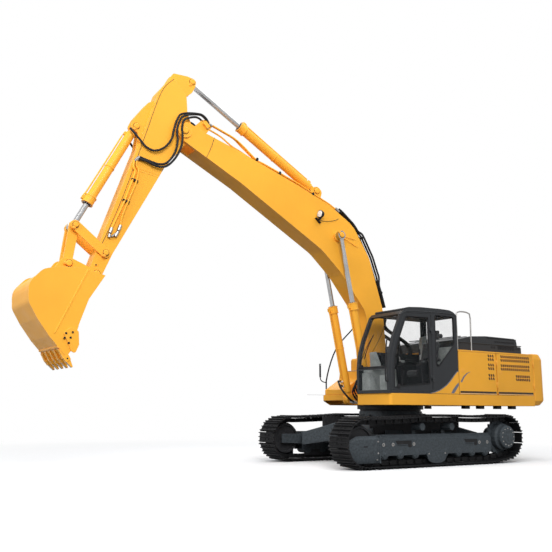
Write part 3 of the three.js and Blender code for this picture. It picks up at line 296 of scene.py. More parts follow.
def plastic_material(name, tint, rough=0.5):
    """Moulded plastic with a fine leather grain."""
    make = Shader(name)
    grain = make.add("ShaderNodeTexVoronoi", {"Scale": 260})
    make.link(make.object, grain.inputs["Vector"])
    body = make.mix(make.range(make.noise(7, 4), 0.3, 0.75), shade(tint, 0.85), shade(tint, 1.25))
    make.set(Specular_IOR_Level=0.14)
    make.bump(grain.outputs["Distance"], 0.18, 0.0008)
    return make.finish(body, make.range(make.noise(16, 3), 0.3, 0.7, rough - 0.06, rough + 0.1))


def rubber_material(name, tint):
    """Dull black rubber with a fine moulded rib and chalky haze."""
    make = Shader(name)
    haze = make.range(make.noise(12, 5), 0.4, 0.8)
    make.set(Specular_IOR_Level=0.15)
    make.bump(make.noise(300, 3), 0.2, 0.0006)
    return make.finish(make.mix(haze, tint, shade(tint, 2.2)), make.range(haze, 0, 1, 0.5, 0.75))


def metal_material(name, tint, rough, scratch=0.1):
    """Bare metal with turned or drawn scratches."""
    make = Shader(name)
    drawn = make.noise(30, 4, 0.6, (1, 1, 14))
    make.set(Metallic=1.0)
    make.bump(drawn, scratch, 0.0004)
    body = make.mix(make.range(make.noise(6, 4), 0.3, 0.7), shade(tint, 0.86), shade(tint, 1.06))
    return make.finish(body, make.range(drawn, 0.3, 0.7, rough, rough + 0.1))


def cloth_material(name, tint):
    """Woven seat cloth with a crossing rib and a soft sheen."""
    make = Shader(name)
    waves = [make.add("ShaderNodeTexWave", {"Scale": 95, "Distortion": 0.6}, bands_direction=axis)
             for axis in ("Y", "Z")]
    for wave in waves:
        make.link(make.object, wave.inputs["Vector"])
    weave = make.math("MULTIPLY", waves[0].outputs["Fac"], waves[1].outputs["Fac"])
    body = make.mix(weave, shade(tint, 0.7), shade(tint, 1.9))
    make.set(Sheen_Weight=0.3, Sheen_Roughness=0.4)
    make.bump(weave, 0.35, 0.001)
    return make.finish(body, make.range(make.noise(9, 3), 0.3, 0.7, 0.75, 0.92))


def glass_material(name, tint, clear):
    """Tinted safety glass with a trace of dust."""
    make = Shader(name)
    dust = make.range(make.noise(5, 6, 0.7), 0.45, 0.85, 0.0, 0.03)
    make.set(Roughness=0.03, IOR=1.45, Specular_IOR_Level=0.6)
    alpha = make.math("ADD", dust, clear)
    make.link(alpha, make.surface.inputs["Alpha"])
    return make.finish(make.mix(dust, tint, (0.6, 0.6, 0.56)))


def lamp_material(name):
    """Fluted lamp glass over a bright reflector."""
    make = Shader(name)
    flutes = make.add("ShaderNodeTexWave", {"Scale": 22}, bands_direction="Y")
    make.link(make.object, flutes.inputs["Vector"])
    make.set(Roughness=0.12, Coat_Weight=0.8)
    make.bump(flutes.outputs["Fac"], 0.4, 0.002)
    return make.finish(make.mix(flutes.outputs["Fac"], (0.62, 0.64, 0.66), (0.9, 0.9, 0.88)))


MATERIALS = {}


def build_materials():
    """Every finish of the machine, made once and kept by name."""
    tint = {name: tuple(getattr(colours(), name)) for name in ExcavatorColours.__annotations__}
    # The third number for paint_material sets its painted edge highlight; for cast_material it sets edges
    # brightened as rubbed metal and painted highlight.
    MATERIALS.update({
        "paint": paint_material("golden_enamel", tint["paint"]),
        "cab": paint_material("charcoal_enamel", tint["cab"], 0.16, 0.36),
        "undercarriage": cast_material("slate_frame_paint", tint["undercarriage"], 0.12),
        "track": cast_material("track_steel", tint["track"], 0.55, 0.35),
        "plastic": plastic_material("black_moulding", tint["plastic"]),
        "lining": plastic_material("grey_lining", tint["lining"], 0.6),
        # The black rubber material also paints shade in slots and holes, and the shadow ring round pin caps.
        "rubber": rubber_material("hose_rubber", tint["rubber"]),
        "steel": metal_material("pin_steel", tint["steel"], 0.32, 0.3),
        "chrome": metal_material("rod_chrome", (0.4, 0.4, 0.4), 0.16, 0.04),
        "mirror": metal_material("mirror_silver", (0.85, 0.86, 0.88), 0.03, 0.01),
        "cloth": cloth_material("seat_cloth", tint["cloth"]),
        "glass": glass_material("tinted_glass", (0.03, 0.045, 0.045), 0.05),
        "lens": lamp_material("lamp_glass"),
        "stripe": paint_material("stripe_film", tint["stripe"], 0.1, 0.4),
        "edge": metal_material("tooth_steel", (0.2, 0.17, 0.13), 0.4, 0.5),
        # This near-black finish is also painted as shade on the idlers, the slewing ring and the guard plates
        # inside the tracks.
        "cast": cast_material("dark_casting", (0.03, 0.03, 0.032), 0.4),
        "grey": paint_material("grey_film", (0.16, 0.17, 0.2), 0.1, 0.35),
        "pale": paint_material("pale_film", (0.75, 0.72, 0.66), 0.1, 0.35),
        "red": paint_material("reflector_red", (0.35, 0.01, 0.01), 0.0, 0.2),
    })


# ---- Meshes ----

def settle(name, data, body, material, bevel=0.0):
    """Turns mesh data into a finished piece; it rides on a body, or stays loose when no body is given."""
    data.shade_smooth()
    if not bevel:
        data.set_sharp_from_angle(angle=SMOOTH_ANGLE)
    if material:
        data.materials.clear()
        data.materials.append(MATERIALS[material])
    piece = bpy.data.objects.new(name, data)
    bpy.context.scene.collection.objects.link(piece)
    if bevel:
        round_edges(piece, bevel)
    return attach(piece, body) if body else piece


def round_edges(piece, width, segments=2):
    """Rounds a piece's sharp edges and evens its shading."""
    bevel = piece.modifiers.new("rounding", "BEVEL")
    bevel.width = width
    bevel.segments = segments
    bevel.limit_method = "ANGLE"
    bevel.angle_limit = SMOOTH_ANGLE
    even = piece.modifiers.new("even_shading", "WEIGHTED_NORMAL")
    even.keep_sharp = True


def arc(centre, radius, start, end, steps):
    """Points on an arc, with angles in degrees."""
    angles = [math.radians(start + (end - start) * i / steps) for i in range(steps + 1)]
    return [(centre[0] + radius * math.cos(a), centre[1] + radius * math.sin(a)) for a in angles]


def rounded(outline, radius, steps=3):
    """An outline with its corners rounded."""
    points = []
    count = len(outline)
    for i, corner in enumerate(outline):
        here = Vector(corner)
        before = Vector(outline[i - 1]) - here
        after = Vector(outline[(i + 1) % count]) - here
        reach = min(radius, before.length / 2.1, after.length / 2.1)
        start = here + before.normalized() * reach
        end = here + after.normalized() * reach
        for k in range(steps + 1):
            t = k / steps
            points.append(tuple((1 - t) ** 2 * start + 2 * t * (1 - t) * here + t * t * end))
    return points


def rect(x0, x1, z0, z1, radius):
    """A rectangle with rounded corners."""
    return rounded([(x0, z0), (x1, z0), (x1, z1), (x0, z1)], radius)


class Solids:
    """Closed shapes gathered in one mesh, placed in the frame of a link or of the machine."""

    def __init__(self, place=MACHINE):
        self.mesh = bmesh.new()
        self.place = place

    def add(self, points, faces):
        """Points in the place's own frame, and the faces between them."""
        made = [self.mesh.verts.new(self.place @ Vector(point)) for point in points]
        for face in faces:
            self.mesh.faces.new([made[i] for i in face])
        return self

    def prism(self, outline, low, high, axis=1):
        """An outline pushed along one axis; its points give the other two coordinates in order."""
        count = len(outline)
        points = []
        for depth in (low, high):
            for point in outline:
                values = list(point)
                values.insert(axis, depth)
                points.append(values)
        sides = [(i, (i + 1) % count, (i + 1) % count + count, i + count) for i in range(count)]
        return self.add(points, [tuple(range(count)), tuple(range(2 * count - 1, count - 1, -1)), *sides])

    def box(self, x0, x1, y0, y1, z0, z1):
        """A box between two corners."""
        return self.prism([(x0, z0), (x1, z0), (x1, z1), (x0, z1)], y0, y1)

    def turned(self, start, end, profile, sides=24):
        """A round shape on the line from start to end; profile holds (distance, radius)."""
        start, end = Vector(start), Vector(end)
        turn = (end - start).to_track_quat("Z", "Y").to_matrix()
        points = []
        for distance, radius in profile:
            for k in range(sides):
                angle = 2 * math.pi * k / sides
                spot = Vector((radius * math.cos(angle), radius * math.sin(angle), distance))
                points.append(start + turn @ spot)
        faces = [tuple(range(sides)), tuple(range(len(points) - 1, len(points) - sides - 1, -1))]
        for ring in range(len(profile) - 1):
            base = ring * sides
            faces += [(base + k, base + (k + 1) % sides, base + sides + (k + 1) % sides, base + sides + k)
                      for k in range(sides)]
        return self.add(points, faces)

    def rod(self, start, end, radius, sides=24):
        """A plain round bar."""
        reach = (Vector(end) - Vector(start)).length
        return self.turned(start, end, [(0, radius), (reach, radius)], sides)

    def ring(self, centre, axis, inner, outer, width, sides=32):
        """A flat ring round an axis, centred on a point."""
        centre, axis = Vector(centre), Vector(axis).normalized()
        half = width / 2
        turn = axis.to_track_quat("Z", "Y").to_matrix()
        points = []
        for radius, height in ((inner, -half), (outer, -half), (outer, half), (inner, half)):
            for k in range(sides):
                angle = 2 * math.pi * k / sides
                spoke = Vector((radius * math.cos(angle), radius * math.sin(angle), height))
                points.append(centre + turn @ spoke)
        faces = []
        for r in range(4):
            low, high = r * sides, (r + 1) % 4 * sides
            faces += [(low + k, low + (k + 1) % sides, high + (k + 1) % sides, high + k)
                      for k in range(sides)]
        return self.add(points, faces)

    def data(self, name):
        """The gathered shapes as mesh data."""
        bmesh.ops.recalc_face_normals(self.mesh, faces=self.mesh.faces)
        made = bpy.data.meshes.new(name)
        self.mesh.to_mesh(made)
        self.mesh.free()
        return made

    def emit(self, name, body, material, bevel=0.0, slot=None):
        """The gathered shapes as a finished piece."""
        return settle(name, self.data(name), body, material, bevel)


# ---- Geometry Nodes ----

class Growth:
    """One tree of Geometry Nodes with named inputs, ending in Realize Instances and Set Material."""

    def __init__(self, name, inputs):
        self.group = bpy.data.node_groups.new(name, "GeometryNodeTree")
        face = self.group.interface
        face.new_socket("Geometry", in_out="OUTPUT", socket_type="NodeSocketGeometry")
        face.new_socket("Geometry", in_out="INPUT", socket_type="NodeSocketGeometry")
        for label, kind in [*inputs, ("Material", "Material")]:
            face.new_socket(label, in_out="INPUT", socket_type="NodeSocket" + kind)
        self.source = self.group.nodes.new("NodeGroupInput").outputs
        self.target = self.group.nodes.new("NodeGroupOutput").inputs[0]

    def add(self, kind, links=None, **settings):
        """A geometry node with its settings, links and plain values."""
        node = self.group.nodes.new("GeometryNode" + kind)
        for key, value in settings.items():
            setattr(node, key, value)
        for key, value in (links or {}).items():
            if isinstance(value, bpy.types.NodeSocket):
                self.group.links.new(value, node.inputs[key])
            else:
                node.inputs[key].default_value = value
        return node

    def close(self, geometry):
        """Ends the tree in real geometry with its material."""
        real = self.add("RealizeInstances", {"Geometry": geometry}).outputs[0]
        done = self.add("SetMaterial", {"Geometry": real, "Material": self.source["Material"]}).outputs[0]
        self.group.links.new(done, self.target)
        return self.group


def tube_tree():
    """A round tube of one radius along a smooth path."""
    grow = Growth("tube_along_path", [("Radius", "Float"), ("Step", "Float"), ("Sides", "Int")])
    path = grow.add("MeshToCurve", {"Mesh": grow.source["Geometry"]}).outputs[0]
    smooth = grow.add("CurveSplineType", {"Curve": path}, spline_type="CATMULL_ROM").outputs[0]
    fine = grow.add("SetSplineResolution", {"Geometry": smooth, "Resolution": 8}).outputs[0]
    even = grow.add("ResampleCurve", {"Curve": fine, "Length": grow.source["Step"]}, mode="LENGTH").outputs[0]
    ring = grow.add("CurvePrimitiveCircle", {"Resolution": grow.source["Sides"],
                                             "Radius": grow.source["Radius"]}).outputs[0]
    skin = grow.add("CurveToMesh", {"Curve": even, "Profile Curve": ring, "Fill Caps": True}).outputs[0]
    return grow.close(skin)


def copies_tree():
    """A copy of an item on each point, turned by the point's own direction."""
    grow = Growth("copies_on_points", [("Item", "Object")])
    item = grow.add("ObjectInfo", {"Object": grow.source["Item"]}).outputs["Geometry"]
    facing = grow.add("InputNamedAttribute", {"Name": "facing"}, data_type="FLOAT_VECTOR").outputs[0]
    heading = grow.add("InputNamedAttribute", {"Name": "heading"}, data_type="FLOAT_VECTOR").outputs[0]
    turn = grow.group.nodes.new("FunctionNodeAxesToRotation")
    turn.primary_axis = "Z"
    turn.secondary_axis = "X"
    grow.group.links.new(facing, turn.inputs["Primary Axis"])
    grow.group.links.new(heading, turn.inputs["Secondary Axis"])
    copies = grow.add("InstanceOnPoints", {"Points": grow.source["Geometry"], "Instance": item,
                                           "Rotation": turn.outputs[0]}).outputs[0]
    return grow.close(copies)


def chain_tree():
    """Copies of a link spread evenly round a closed loop in an upright plane."""
    grow = Growth("links_round_loop", [("Item", "Object"), ("Count", "Int")])
    path = grow.add("MeshToCurve", {"Mesh": grow.source["Geometry"]}).outputs[0]
    even = grow.add("ResampleCurve", {"Curve": path, "Count": grow.source["Count"]}).outputs[0]
    item = grow.add("ObjectInfo", {"Object": grow.source["Item"]}).outputs["Geometry"]
    turn = grow.group.nodes.new("FunctionNodeAxesToRotation")
    turn.primary_axis = "X"
    turn.secondary_axis = "Y"
    grow.group.links.new(grow.add("InputTangent").outputs[0], turn.inputs["Primary Axis"])
    turn.inputs["Secondary Axis"].default_value = (0, 1, 0)
    copies = grow.add("InstanceOnPoints", {"Points": even, "Instance": item,
                                           "Rotation": turn.outputs[0]}).outputs[0]
    return grow.close(copies)


TREES = {}


def grown(name, base, tree, values):
    """The plain mesh that a tree makes from a base."""
    seed = bpy.data.objects.new(name + "_seed", base)
    bpy.context.scene.collection.objects.link(seed)
    modifier = seed.modifiers.new("growth", "NODES")
    modifier.node_group = TREES[tree]
    for item in TREES[tree].interface.items_tree:
        if item.in_out == "INPUT" and item.name in values:
            modifier[item.identifier] = values[item.name]
    depsgraph = bpy.context.evaluated_depsgraph_get()
    data = bpy.data.meshes.new_from_object(seed.evaluated_get(depsgraph), depsgraph=depsgraph)
    data.name = name
    seed.modifiers.clear()
    bpy.data.objects.remove(seed)
    return data


def tube(name, paths, radius, body, material, place=MACHINE, step=0.03, sides=12, closed=False):
    """Pipes or hoses of one radius; each path is a list of points."""
    points, edges = [], []
    for path in paths:
        first = len(points)
        points += [place @ Vector(point) for point in path]
        edges += [(i, i + 1) for i in range(first, len(points) - 1)]
        if closed:
            edges.append((len(points) - 1, first))
    base = bpy.data.meshes.new(name + "_path")
    base.from_pydata(points, edges, [])
    values = {"Radius": radius, "Step": step, "Sides": sides, "Material": MATERIALS[material]}
    return settle(name, grown(name, base, "tube", values), body, None)


def item(name, solids):
    """A shape to be repeated; it is thrown away once its copies are made."""
    made = bpy.data.objects.new(name, solids.data(name))
    made.data.shade_smooth()
    made.data.set_sharp_from_angle(angle=SMOOTH_ANGLE)
    bpy.context.scene.collection.objects.link(made)
    return made


def copies(name, shape, spots, body, material, place=MACHINE, slot=None):
    """A copy of a shape on each spot: (point, direction it faces, direction of its X)."""
    base = bpy.data.meshes.new(name + "_spots")
    base.from_pydata([place @ Vector(spot[0]) for spot in spots], [], [])
    turn = place.to_3x3()
    for key, index in (("facing", 1), ("heading", 2)):
        layer = base.attributes.new(key, "FLOAT_VECTOR", "POINT")
        for i, spot in enumerate(spots):
            layer.data[i].vector = turn @ Vector(spot[index])
    made = item(name + "_item", shape)
    data = grown(name, base, "copies", {"Item": made, "Material": MATERIALS[material]})
    bpy.data.objects.remove(made)
    return settle(name, data, body, None)


def hex_bolt(radius, height):
    """A hex head on its washer, facing up Z."""
    shape = Solids(Matrix())
    shape.turned((0, 0, -0.002), (0, 0, 1), [(0, radius * 1.25), (0.002 + height * 0.2, radius * 1.2)], 12)
    shape.turned((0, 0, 0), (0, 0, 1), [(0, radius), (height * 0.85, radius), (height, radius * 0.82)], 6)
    return shape


def bolts(name, spots, facing, body, place=MACHINE, radius=None, material="steel"):
    """Hex bolts at a list of points that all face one way."""
    size = radius or sizes().bolt
    facing = Vector(facing)
    heading = facing.orthogonal()
    rows = [(spot, facing, heading) for spot in spots]
    return copies(name, hex_bolt(size, size * 0.9), rows, body, material, place)


def circle_spots(centre, radius, count, axis, start=0.0):
    """Points spread round a circle, in a plane square to an axis named X, Y or Z."""
    first, second = {"X": (1, 2), "Y": (0, 2), "Z": (0, 1)}[axis]
    spots = []
    for k in range(count):
        angle = math.radians(start) + 2 * math.pi * k / count
        spot = list(centre)
        spot[first] += radius * math.cos(angle)
        spot[second] += radius * math.sin(angle)
        spots.append(tuple(spot))
    return spots


# ---- Operators, one for each group of pieces ----

class EXCAVATOR_OT_stage(bpy.types.Operator):
    """Set up the floor, the soft light, the pale background and the camera"""

    bl_idname = "excavator.stage"
    bl_label = "Stage"

    def execute(self, context):
        make_floor()
        make_world(context.scene)
        make_lamps()
        make_camera(context.scene)
        context.scene.view_settings.view_transform = "Standard"
        return {"FINISHED"}


CAMERA_PLACE = (11.055, 12.368, 1.1405)
CAMERA_YAW = -2.1429
CAMERA_PITCH = 0.1846
CAMERA_ROLL = 0.0054
CAMERA_LENS = 46.46
FLOOR_REACH = 60
FLOOR_SEEN = (0.95, 0.95, 0.95)
FLOOR_BOUNCE = (0.13, 0.13, 0.13)
SKY_STRENGTH = 0.55
FADE_START = 5
FADE_END = 13


def make_camera(scene):
    """A camera near the ground, off the machine's front left corner."""
    camera = bpy.data.cameras.new("camera")
    camera.lens = CAMERA_LENS
    camera.clip_end = 200
    holder = bpy.data.objects.new("camera", camera)
    scene.collection.objects.link(holder)
    flat = math.cos(CAMERA_PITCH)
    forward = Vector((flat * math.cos(CAMERA_YAW), flat * math.sin(CAMERA_YAW), math.sin(CAMERA_PITCH)))
    aim = forward.to_track_quat("-Z", "Y").to_matrix().to_4x4()
    roll = Matrix.Rotation(CAMERA_ROLL, 4, "Z")
    holder.matrix_world = MACHINE @ Matrix.Translation(CAMERA_PLACE) @ aim @ roll
    scene.camera = holder


def seen_ray(tree):
    """1 where the background is looked at, mirrored or seen through glass."""
    path = tree.nodes.new("ShaderNodeLightPath")
    total = path.outputs["Is Camera Ray"]
    for label in ("Is Glossy Ray", "Is Transmission Ray"):
        node = tree.nodes.new("ShaderNodeMath")
        node.operation = "ADD"
        node.use_clamp = True
        tree.links.new(total, node.inputs[0])
        tree.links.new(path.outputs[label], node.inputs[1])
        total = node.outputs[0]
    return total


def make_floor():
    """A plain pale floor that fades into the background and keeps the machine's shadow."""
    data = bpy.data.meshes.new("floor")
    reach = FLOOR_REACH
    data.from_pydata([(-reach, -reach, 0), (reach, -reach, 0), (reach, reach, 0), (-reach, reach, 0)],
                     [], [(0, 1, 2, 3)])
    floor = bpy.data.objects.new("floor", data)
    bpy.context.scene.collection.objects.link(floor)
    make = Shader("pale_floor")
    make.set(Roughness=0.9, Specular_IOR_Level=0.1)
    distance = make.add("ShaderNodeVectorMath", operation="LENGTH")
    make.link(make.object, distance.inputs[0])
    seen = seen_ray(make.tree)
    make.link(make.mix(seen, FLOOR_BOUNCE, FLOOR_SEEN), make.surface.inputs["Base Color"])
    share = make.math("MULTIPLY", seen, make.range(distance.outputs["Value"], FADE_START, FADE_END))
    white = make.add("ShaderNodeEmission", {"Color": (1, 1, 1, 1), "Strength": 1.0})
    blend = make.add("ShaderNodeMixShader")
    make.link(share, blend.inputs[0])
    make.link(make.surface.outputs[0], blend.inputs[1])
    make.link(white.outputs[0], blend.inputs[2])
    make.link(blend.outputs[0], make.tree.nodes["Material Output"].inputs["Surface"])
    data.materials.append(make.material)


def make_world(scene):
    """White where it is seen or mirrored, and a softer grey where it lights the machine."""
    world = bpy.data.worlds.new("studio")
    world.use_nodes = True
    tree = world.node_tree
    tree.nodes.clear()
    light = tree.nodes.new("ShaderNodeBackground")
    light.inputs["Color"].default_value = (0.93, 0.96, 1, 1)
    light.inputs["Strength"].default_value = SKY_STRENGTH
    white = tree.nodes.new("ShaderNodeBackground")
    white.inputs["Strength"].default_value = 1.0
    white.inputs["Color"].default_value = (1, 1, 1, 1)
    blend = tree.nodes.new("ShaderNodeMixShader")
    tree.links.new(seen_ray(tree), blend.inputs[0])
    tree.links.new(light.outputs[0], blend.inputs[1])
    tree.links.new(white.outputs[0], blend.inputs[2])
    tree.links.new(blend.outputs[0], tree.nodes.new("ShaderNodeOutputWorld").inputs["Surface"])
    scene.world = world


LAMPS = {
    "key_lamp": ((7, 13, 11), 8, 1780),
    "top_lamp": ((-2, 3, 15), 10, 800),
    "fill_lamp": ((15, 2, 9), 8, 900),
    "rim_lamp": ((-9, -12, 9), 8, 420),
}


def make_lamps():
    """Large soft lamps round the machine."""
    for name, (place, size, power) in LAMPS.items():
        lamp = bpy.data.lights.new(name, "AREA")
        lamp.size = size
        lamp.energy = power
        holder = bpy.data.objects.new(name, lamp)
        bpy.context.scene.collection.objects.link(holder)
        aim = (Vector((0, 0, 2.5)) - Vector(place)).to_track_quat("-Z", "Y")
        holder.matrix_world = Matrix.Translation(place) @ aim.to_matrix().to_4x4()


NODE_FINISH = {
    "undercarriage": ("carbody", "track_frame_left", "track_frame_right", "sprocket_left", "sprocket_right"),
    # Painted shade: the idlers and the slewing ring take the near-black finish because they sit in shade.
    "cast": ("idler_left", "idler_right", "slewing_ring"),
    "track": ("track_left", "track_right"),
    "paint": ("revolving_frame", "deck_left", "deck_right", "counterweight", "body_frame", "hydraulic_tank",
              "fuel_tank", "toolbox", "left_front_door", "left_rear_door", "right_rear_door", "boom", "arm",
              "arm_link_left", "arm_link_right", "bucket_link", "bucket", "boom_cylinder_barrel_left",
              "boom_cylinder_barrel_right", "arm_cylinder_barrel", "bucket_cylinder_barrel"),
    "cab": ("cab", "cab_door", "engine_hood"),
    "plastic": ("engine_block", "valve_cover", "seat_stand", "mirror_rail"),
    "steel": ("handrail",),
    "glass": ("windshield_upper", "windshield_lower", "rear_side_glass", "right_glass", "rear_glass",
              "cab_door_glass"),
    "chrome": ("boom_cylinder_rod_left", "boom_cylinder_rod_right", "arm_cylinder_rod",
               "bucket_cylinder_rod"),
    "cloth": ("seat_cushion", "seat_backrest"),
}
SHARP_NODES = ("glass", "cloth", "track")
NODE_ROUNDING = {"cab": 0.018, "cab_door": 0.012, "engine_hood": 0.03, "counterweight": 0.03,
                 "deck_left": 0.016, "deck_right": 0.016, "body_frame": 0.012, "boom": 0.012, "arm": 0.012,
                 "toolbox": 0.015, "hydraulic_tank": 0.03, "fuel_tank": 0.03}


class EXCAVATOR_OT_frame_finish(bpy.types.Operator):
    """Give every part of the frame its finish and round its plate edges"""

    bl_idname = "excavator.frame_finish"
    bl_label = "Frame finish"

    def execute(self, context):
        for finish, names in NODE_FINISH.items():
            for name in names:
                finish_node(NODES[name], finish)
        return {"FINISHED"}


def finish_node(node, finish):
    """Paints one CAD node, and rounds its edges if it is a plate or a casting."""
    node.data.materials.clear()
    node.data.materials.append(MATERIALS[finish])
    if finish in SHARP_NODES:
        return
    weld = node.modifiers.new("weld", "WELD")
    weld.merge_threshold = 0.00005
    flat = node.modifiers.new("flat_faces", "DECIMATE")
    flat.decimate_type = "DISSOLVE"
    flat.angle_limit = math.radians(0.4)
    round_edges(node, NODE_ROUNDING.get(node.name, sizes().rounding), 3)


# ---- Tracks ----

SHOE_PLATE = 0.014
SHOE_HALF_WIDTH = 0.3
IDLER_BEND = 0.44
SPROCKET_BEND = 0.436
CARRIERS = ((0.4, 1.0), (-0.45, 1.0))
FRONT_SAG = 0.012
REAR_SAG = 0.02
ROLLER_COUNT = 8
ROLLER_SPAN = 2.88
ROLLER_Z = 0.268
FIRST_ROLLER = 0.56
FRAME_FACE = 1.466
SIDES = {"left": 1, "right": -1}


def band(side, near, far):
    """Two distances from the machine's middle plane, in rising order on either side."""
    return min(side * near, side * far), max(side * near, side * far)


def upright(spot, degrees):
    """A place in the machine's frame, turned about its vertical axis."""
    return MACHINE @ Matrix.Translation(spot) @ Matrix.Rotation(math.radians(degrees), 4, "Z")


def wheel_centre(node):
    """Centre of a wheel node in the machine's frame, as X and Z."""
    low, high = box_in(node, MACHINE)
    return Vector(((low.x + high.x) / 2, (low.z + high.z) / 2))


def touch_angle(point, centre, radius, side):
    """Angle at which a line from a point touches a wheel."""
    away = point - centre
    return math.atan2(away.y, away.x) + side * math.acos(radius / away.length)


def sagging(start, end, sag, steps):
    """Points between two carriers, hanging in a shallow curve."""
    shares = [(i + 1) / steps for i in range(steps - 1)]
    return [(start.lerp(end, t).x, start.lerp(end, t).y - 4 * sag * t * (1 - t)) for t in shares]


def track_loop():
    """Line between the shoes and the links, once round the idler and the sprocket."""
    idler = wheel_centre("idler_left")
    sprocket = wheel_centre("sprocket_left")
    ground = sizes().grouser + SHOE_PLATE
    front = Vector((idler.x - 0.42, ground))
    rear = Vector((sprocket.x + 0.52, ground))
    low = math.degrees(touch_angle(rear, sprocket, SPROCKET_BEND, -1)) % 360
    high = math.degrees(touch_angle(front, idler, IDLER_BEND, 1)) % 360 - 360
    back = arc(sprocket, SPROCKET_BEND, low, 90, 22)
    nose = arc(idler, IDLER_BEND, 90, high, 22)
    fore, aft = (Vector(place) for place in CARRIERS)
    return [tuple(front), tuple(rear), *back, *sagging(Vector(back[-1]), aft, REAR_SAG, 8), tuple(aft),
            *sagging(aft, fore, 0.004, 3), tuple(fore), *sagging(fore, Vector(nose[0]), FRONT_SAG, 8), *nose]


def shoe_shape(pitch):
    """One shoe with three bars across it and the four bolts that hold it."""
    shape = Solids(Matrix())
    half = pitch / 2 - 0.003
    height = SHOE_PLATE + sizes().grouser
    profile = [(half, 0.0), (half, SHOE_PLATE)]
    for centre in (pitch * 0.38, -pitch * 0.02, -pitch * 0.42):
        top = height if centre < pitch * 0.3 else height * 0.94
        profile += [(centre + 0.014, SHOE_PLATE), (centre + 0.006, top), (centre - 0.006, top),
                    (centre - 0.014, SHOE_PLATE)]
    profile += [(-half, SHOE_PLATE), (-half, 0.0)]
    shape.prism(profile, -SHOE_HALF_WIDTH, SHOE_HALF_WIDTH)
    for x in (pitch * 0.18, -pitch * 0.22):
        for y in (-0.065, 0.065):
            shape.turned((x, y, SHOE_PLATE), (x, y, 1), [(0, 0.016), (0.014, 0.015)], 6)
    return shape


def link_shape(pitch):
    """The pair of chain links under one shoe, with their pin."""
    shape = Solids(Matrix())
    for side in (-1, 1):
        for start, end, low, high in ((-0.56, 0.12, 0.062, 0.09), (-0.1, 0.56, 0.04, 0.068)):
            plate = rect(start * pitch, end * pitch, -0.012, -0.1, 0.035)
            shape.prism(plate, *band(side, low, high))
    shape.rod((pitch / 2, -0.1, -0.056), (pitch / 2, 0.1, -0.056), 0.022, 12)
    return shape


class EXCAVATOR_OT_tracks(bpy.types.Operator):
    """Replace the plain track loops with linked shoes"""

    bl_idname = "excavator.tracks"
    bl_label = "Tracks"

    def execute(self, context):
        loop = track_loop()
        count = sizes().shoe_count
        pitch = sum(math.dist(a, b) for a, b in zip(loop, loop[1:] + loop[:1])) / count
        for word in SIDES:
            low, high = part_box("track_" + word)
            y = (low.y + high.y) / 2
            for part, shape in (("shoes", shoe_shape(pitch)), ("links", link_shape(pitch))):
                name = f"track_{part}_{word}"
                base = bpy.data.meshes.new(name + "_loop")
                rows = [MACHINE @ Vector((x, y, z)) for x, z in loop]
                base.from_pydata(rows, [(i, (i + 1) % len(rows)) for i in range(len(rows))], [])
                made = item(name + "_item", shape)
                data = grown(name, base, "chain", {"Item": made, "Count": count,
                                                   "Material": MATERIALS["track"]})
                bpy.data.objects.remove(made)
                piece = settle(name, data, "undercarriage", None)
                if part == "shoes":
                    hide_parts("track_" + word)
        return {"FINISHED"}


class EXCAVATOR_OT_undercarriage(bpy.types.Operator):
    """Add guards, roller caps, covers and bolts to the undercarriage"""

    bl_idname = "excavator.undercarriage"
    bl_label = "Undercarriage fittings"

    def execute(self, context):
        for word, side in SIDES.items():
            idler_guard(word, side)
            drive_cover(word, side)
            roller_caps(word, side)
            frame_side(word, side)
        carbody_legs()
        return {"FINISHED"}


def idler_guard(word, side):
    """Folded plate box over the front end of a track frame, with a rib up its rear edge."""
    full = ((1.46, 0.12), (1.49, 0.12), (1.552, 0.27), (1.552, 0.57), (1.49, 0.635), (1.46, 0.635))
    nose = ((1.46, 0.3), (1.465, 0.3), (1.472, 0.34), (1.472, 0.5), (1.465, 0.54), (1.46, 0.54))
    guard = Solids()
    rows = [(x, side * y, z) for x, section in ((1.66, full), (2.19, full), (2.4, nose)) for y, z in section]
    walls = [(row * 6 + i, row * 6 + (i + 1) % 6, row * 6 + 6 + (i + 1) % 6, row * 6 + 6 + i)
             for row in range(2) for i in range(6)]
    guard.add(rows, [tuple(range(6)), tuple(range(12, 18)), *walls])
    guard.prism([(1.655, 0.12), (1.68, 0.12), (1.68, 0.645), (1.655, 0.645)], *band(side, 1.462, 1.562))
    guard.emit(f"idler_guard_{word}", "undercarriage", "undercarriage", 0.008)
    # Painted shade: a thin dark sheet stands for the shaded grease slot.
    grease = rect(1.98, 2.08, 0.425, 0.45, 0.01)
    Solids().prism(grease, *band(side, 1.54, 1.5535)).emit(f"grease_slot_{word}", "undercarriage", "rubber")
    spots = [(1.72, side * y, z) for y, z in ((1.517, 0.185), (1.552, 0.31), (1.552, 0.53))]
    bolts(f"idler_guard_bolts_{word}", spots, (0, side, 0), "undercarriage", radius=0.014)


def drive_cover(word, side):
    """Stepped cover and bolt circles of a final drive."""
    hub = wheel_centre("sprocket_" + word)
    low, high = box_in("sprocket_" + word, MACHINE)
    face = high.y if side > 0 else low.y
    centre = (hub.x, face, hub.y)
    shape = Solids()
    shape.turned((hub.x, face - side * 0.004, hub.y), (hub.x, face + side, hub.y),
                 [(0, 0.15), (0.012, 0.145), (0.014, 0.06), (0.02, 0.055)], 32)
    shape.emit(f"drive_cover_{word}", "undercarriage", "undercarriage", 0.003)
    bolts(f"drive_cover_bolts_{word}", circle_spots(centre, 0.185, 12, "Y"), (0, side, 0), "undercarriage",
          radius=0.012)


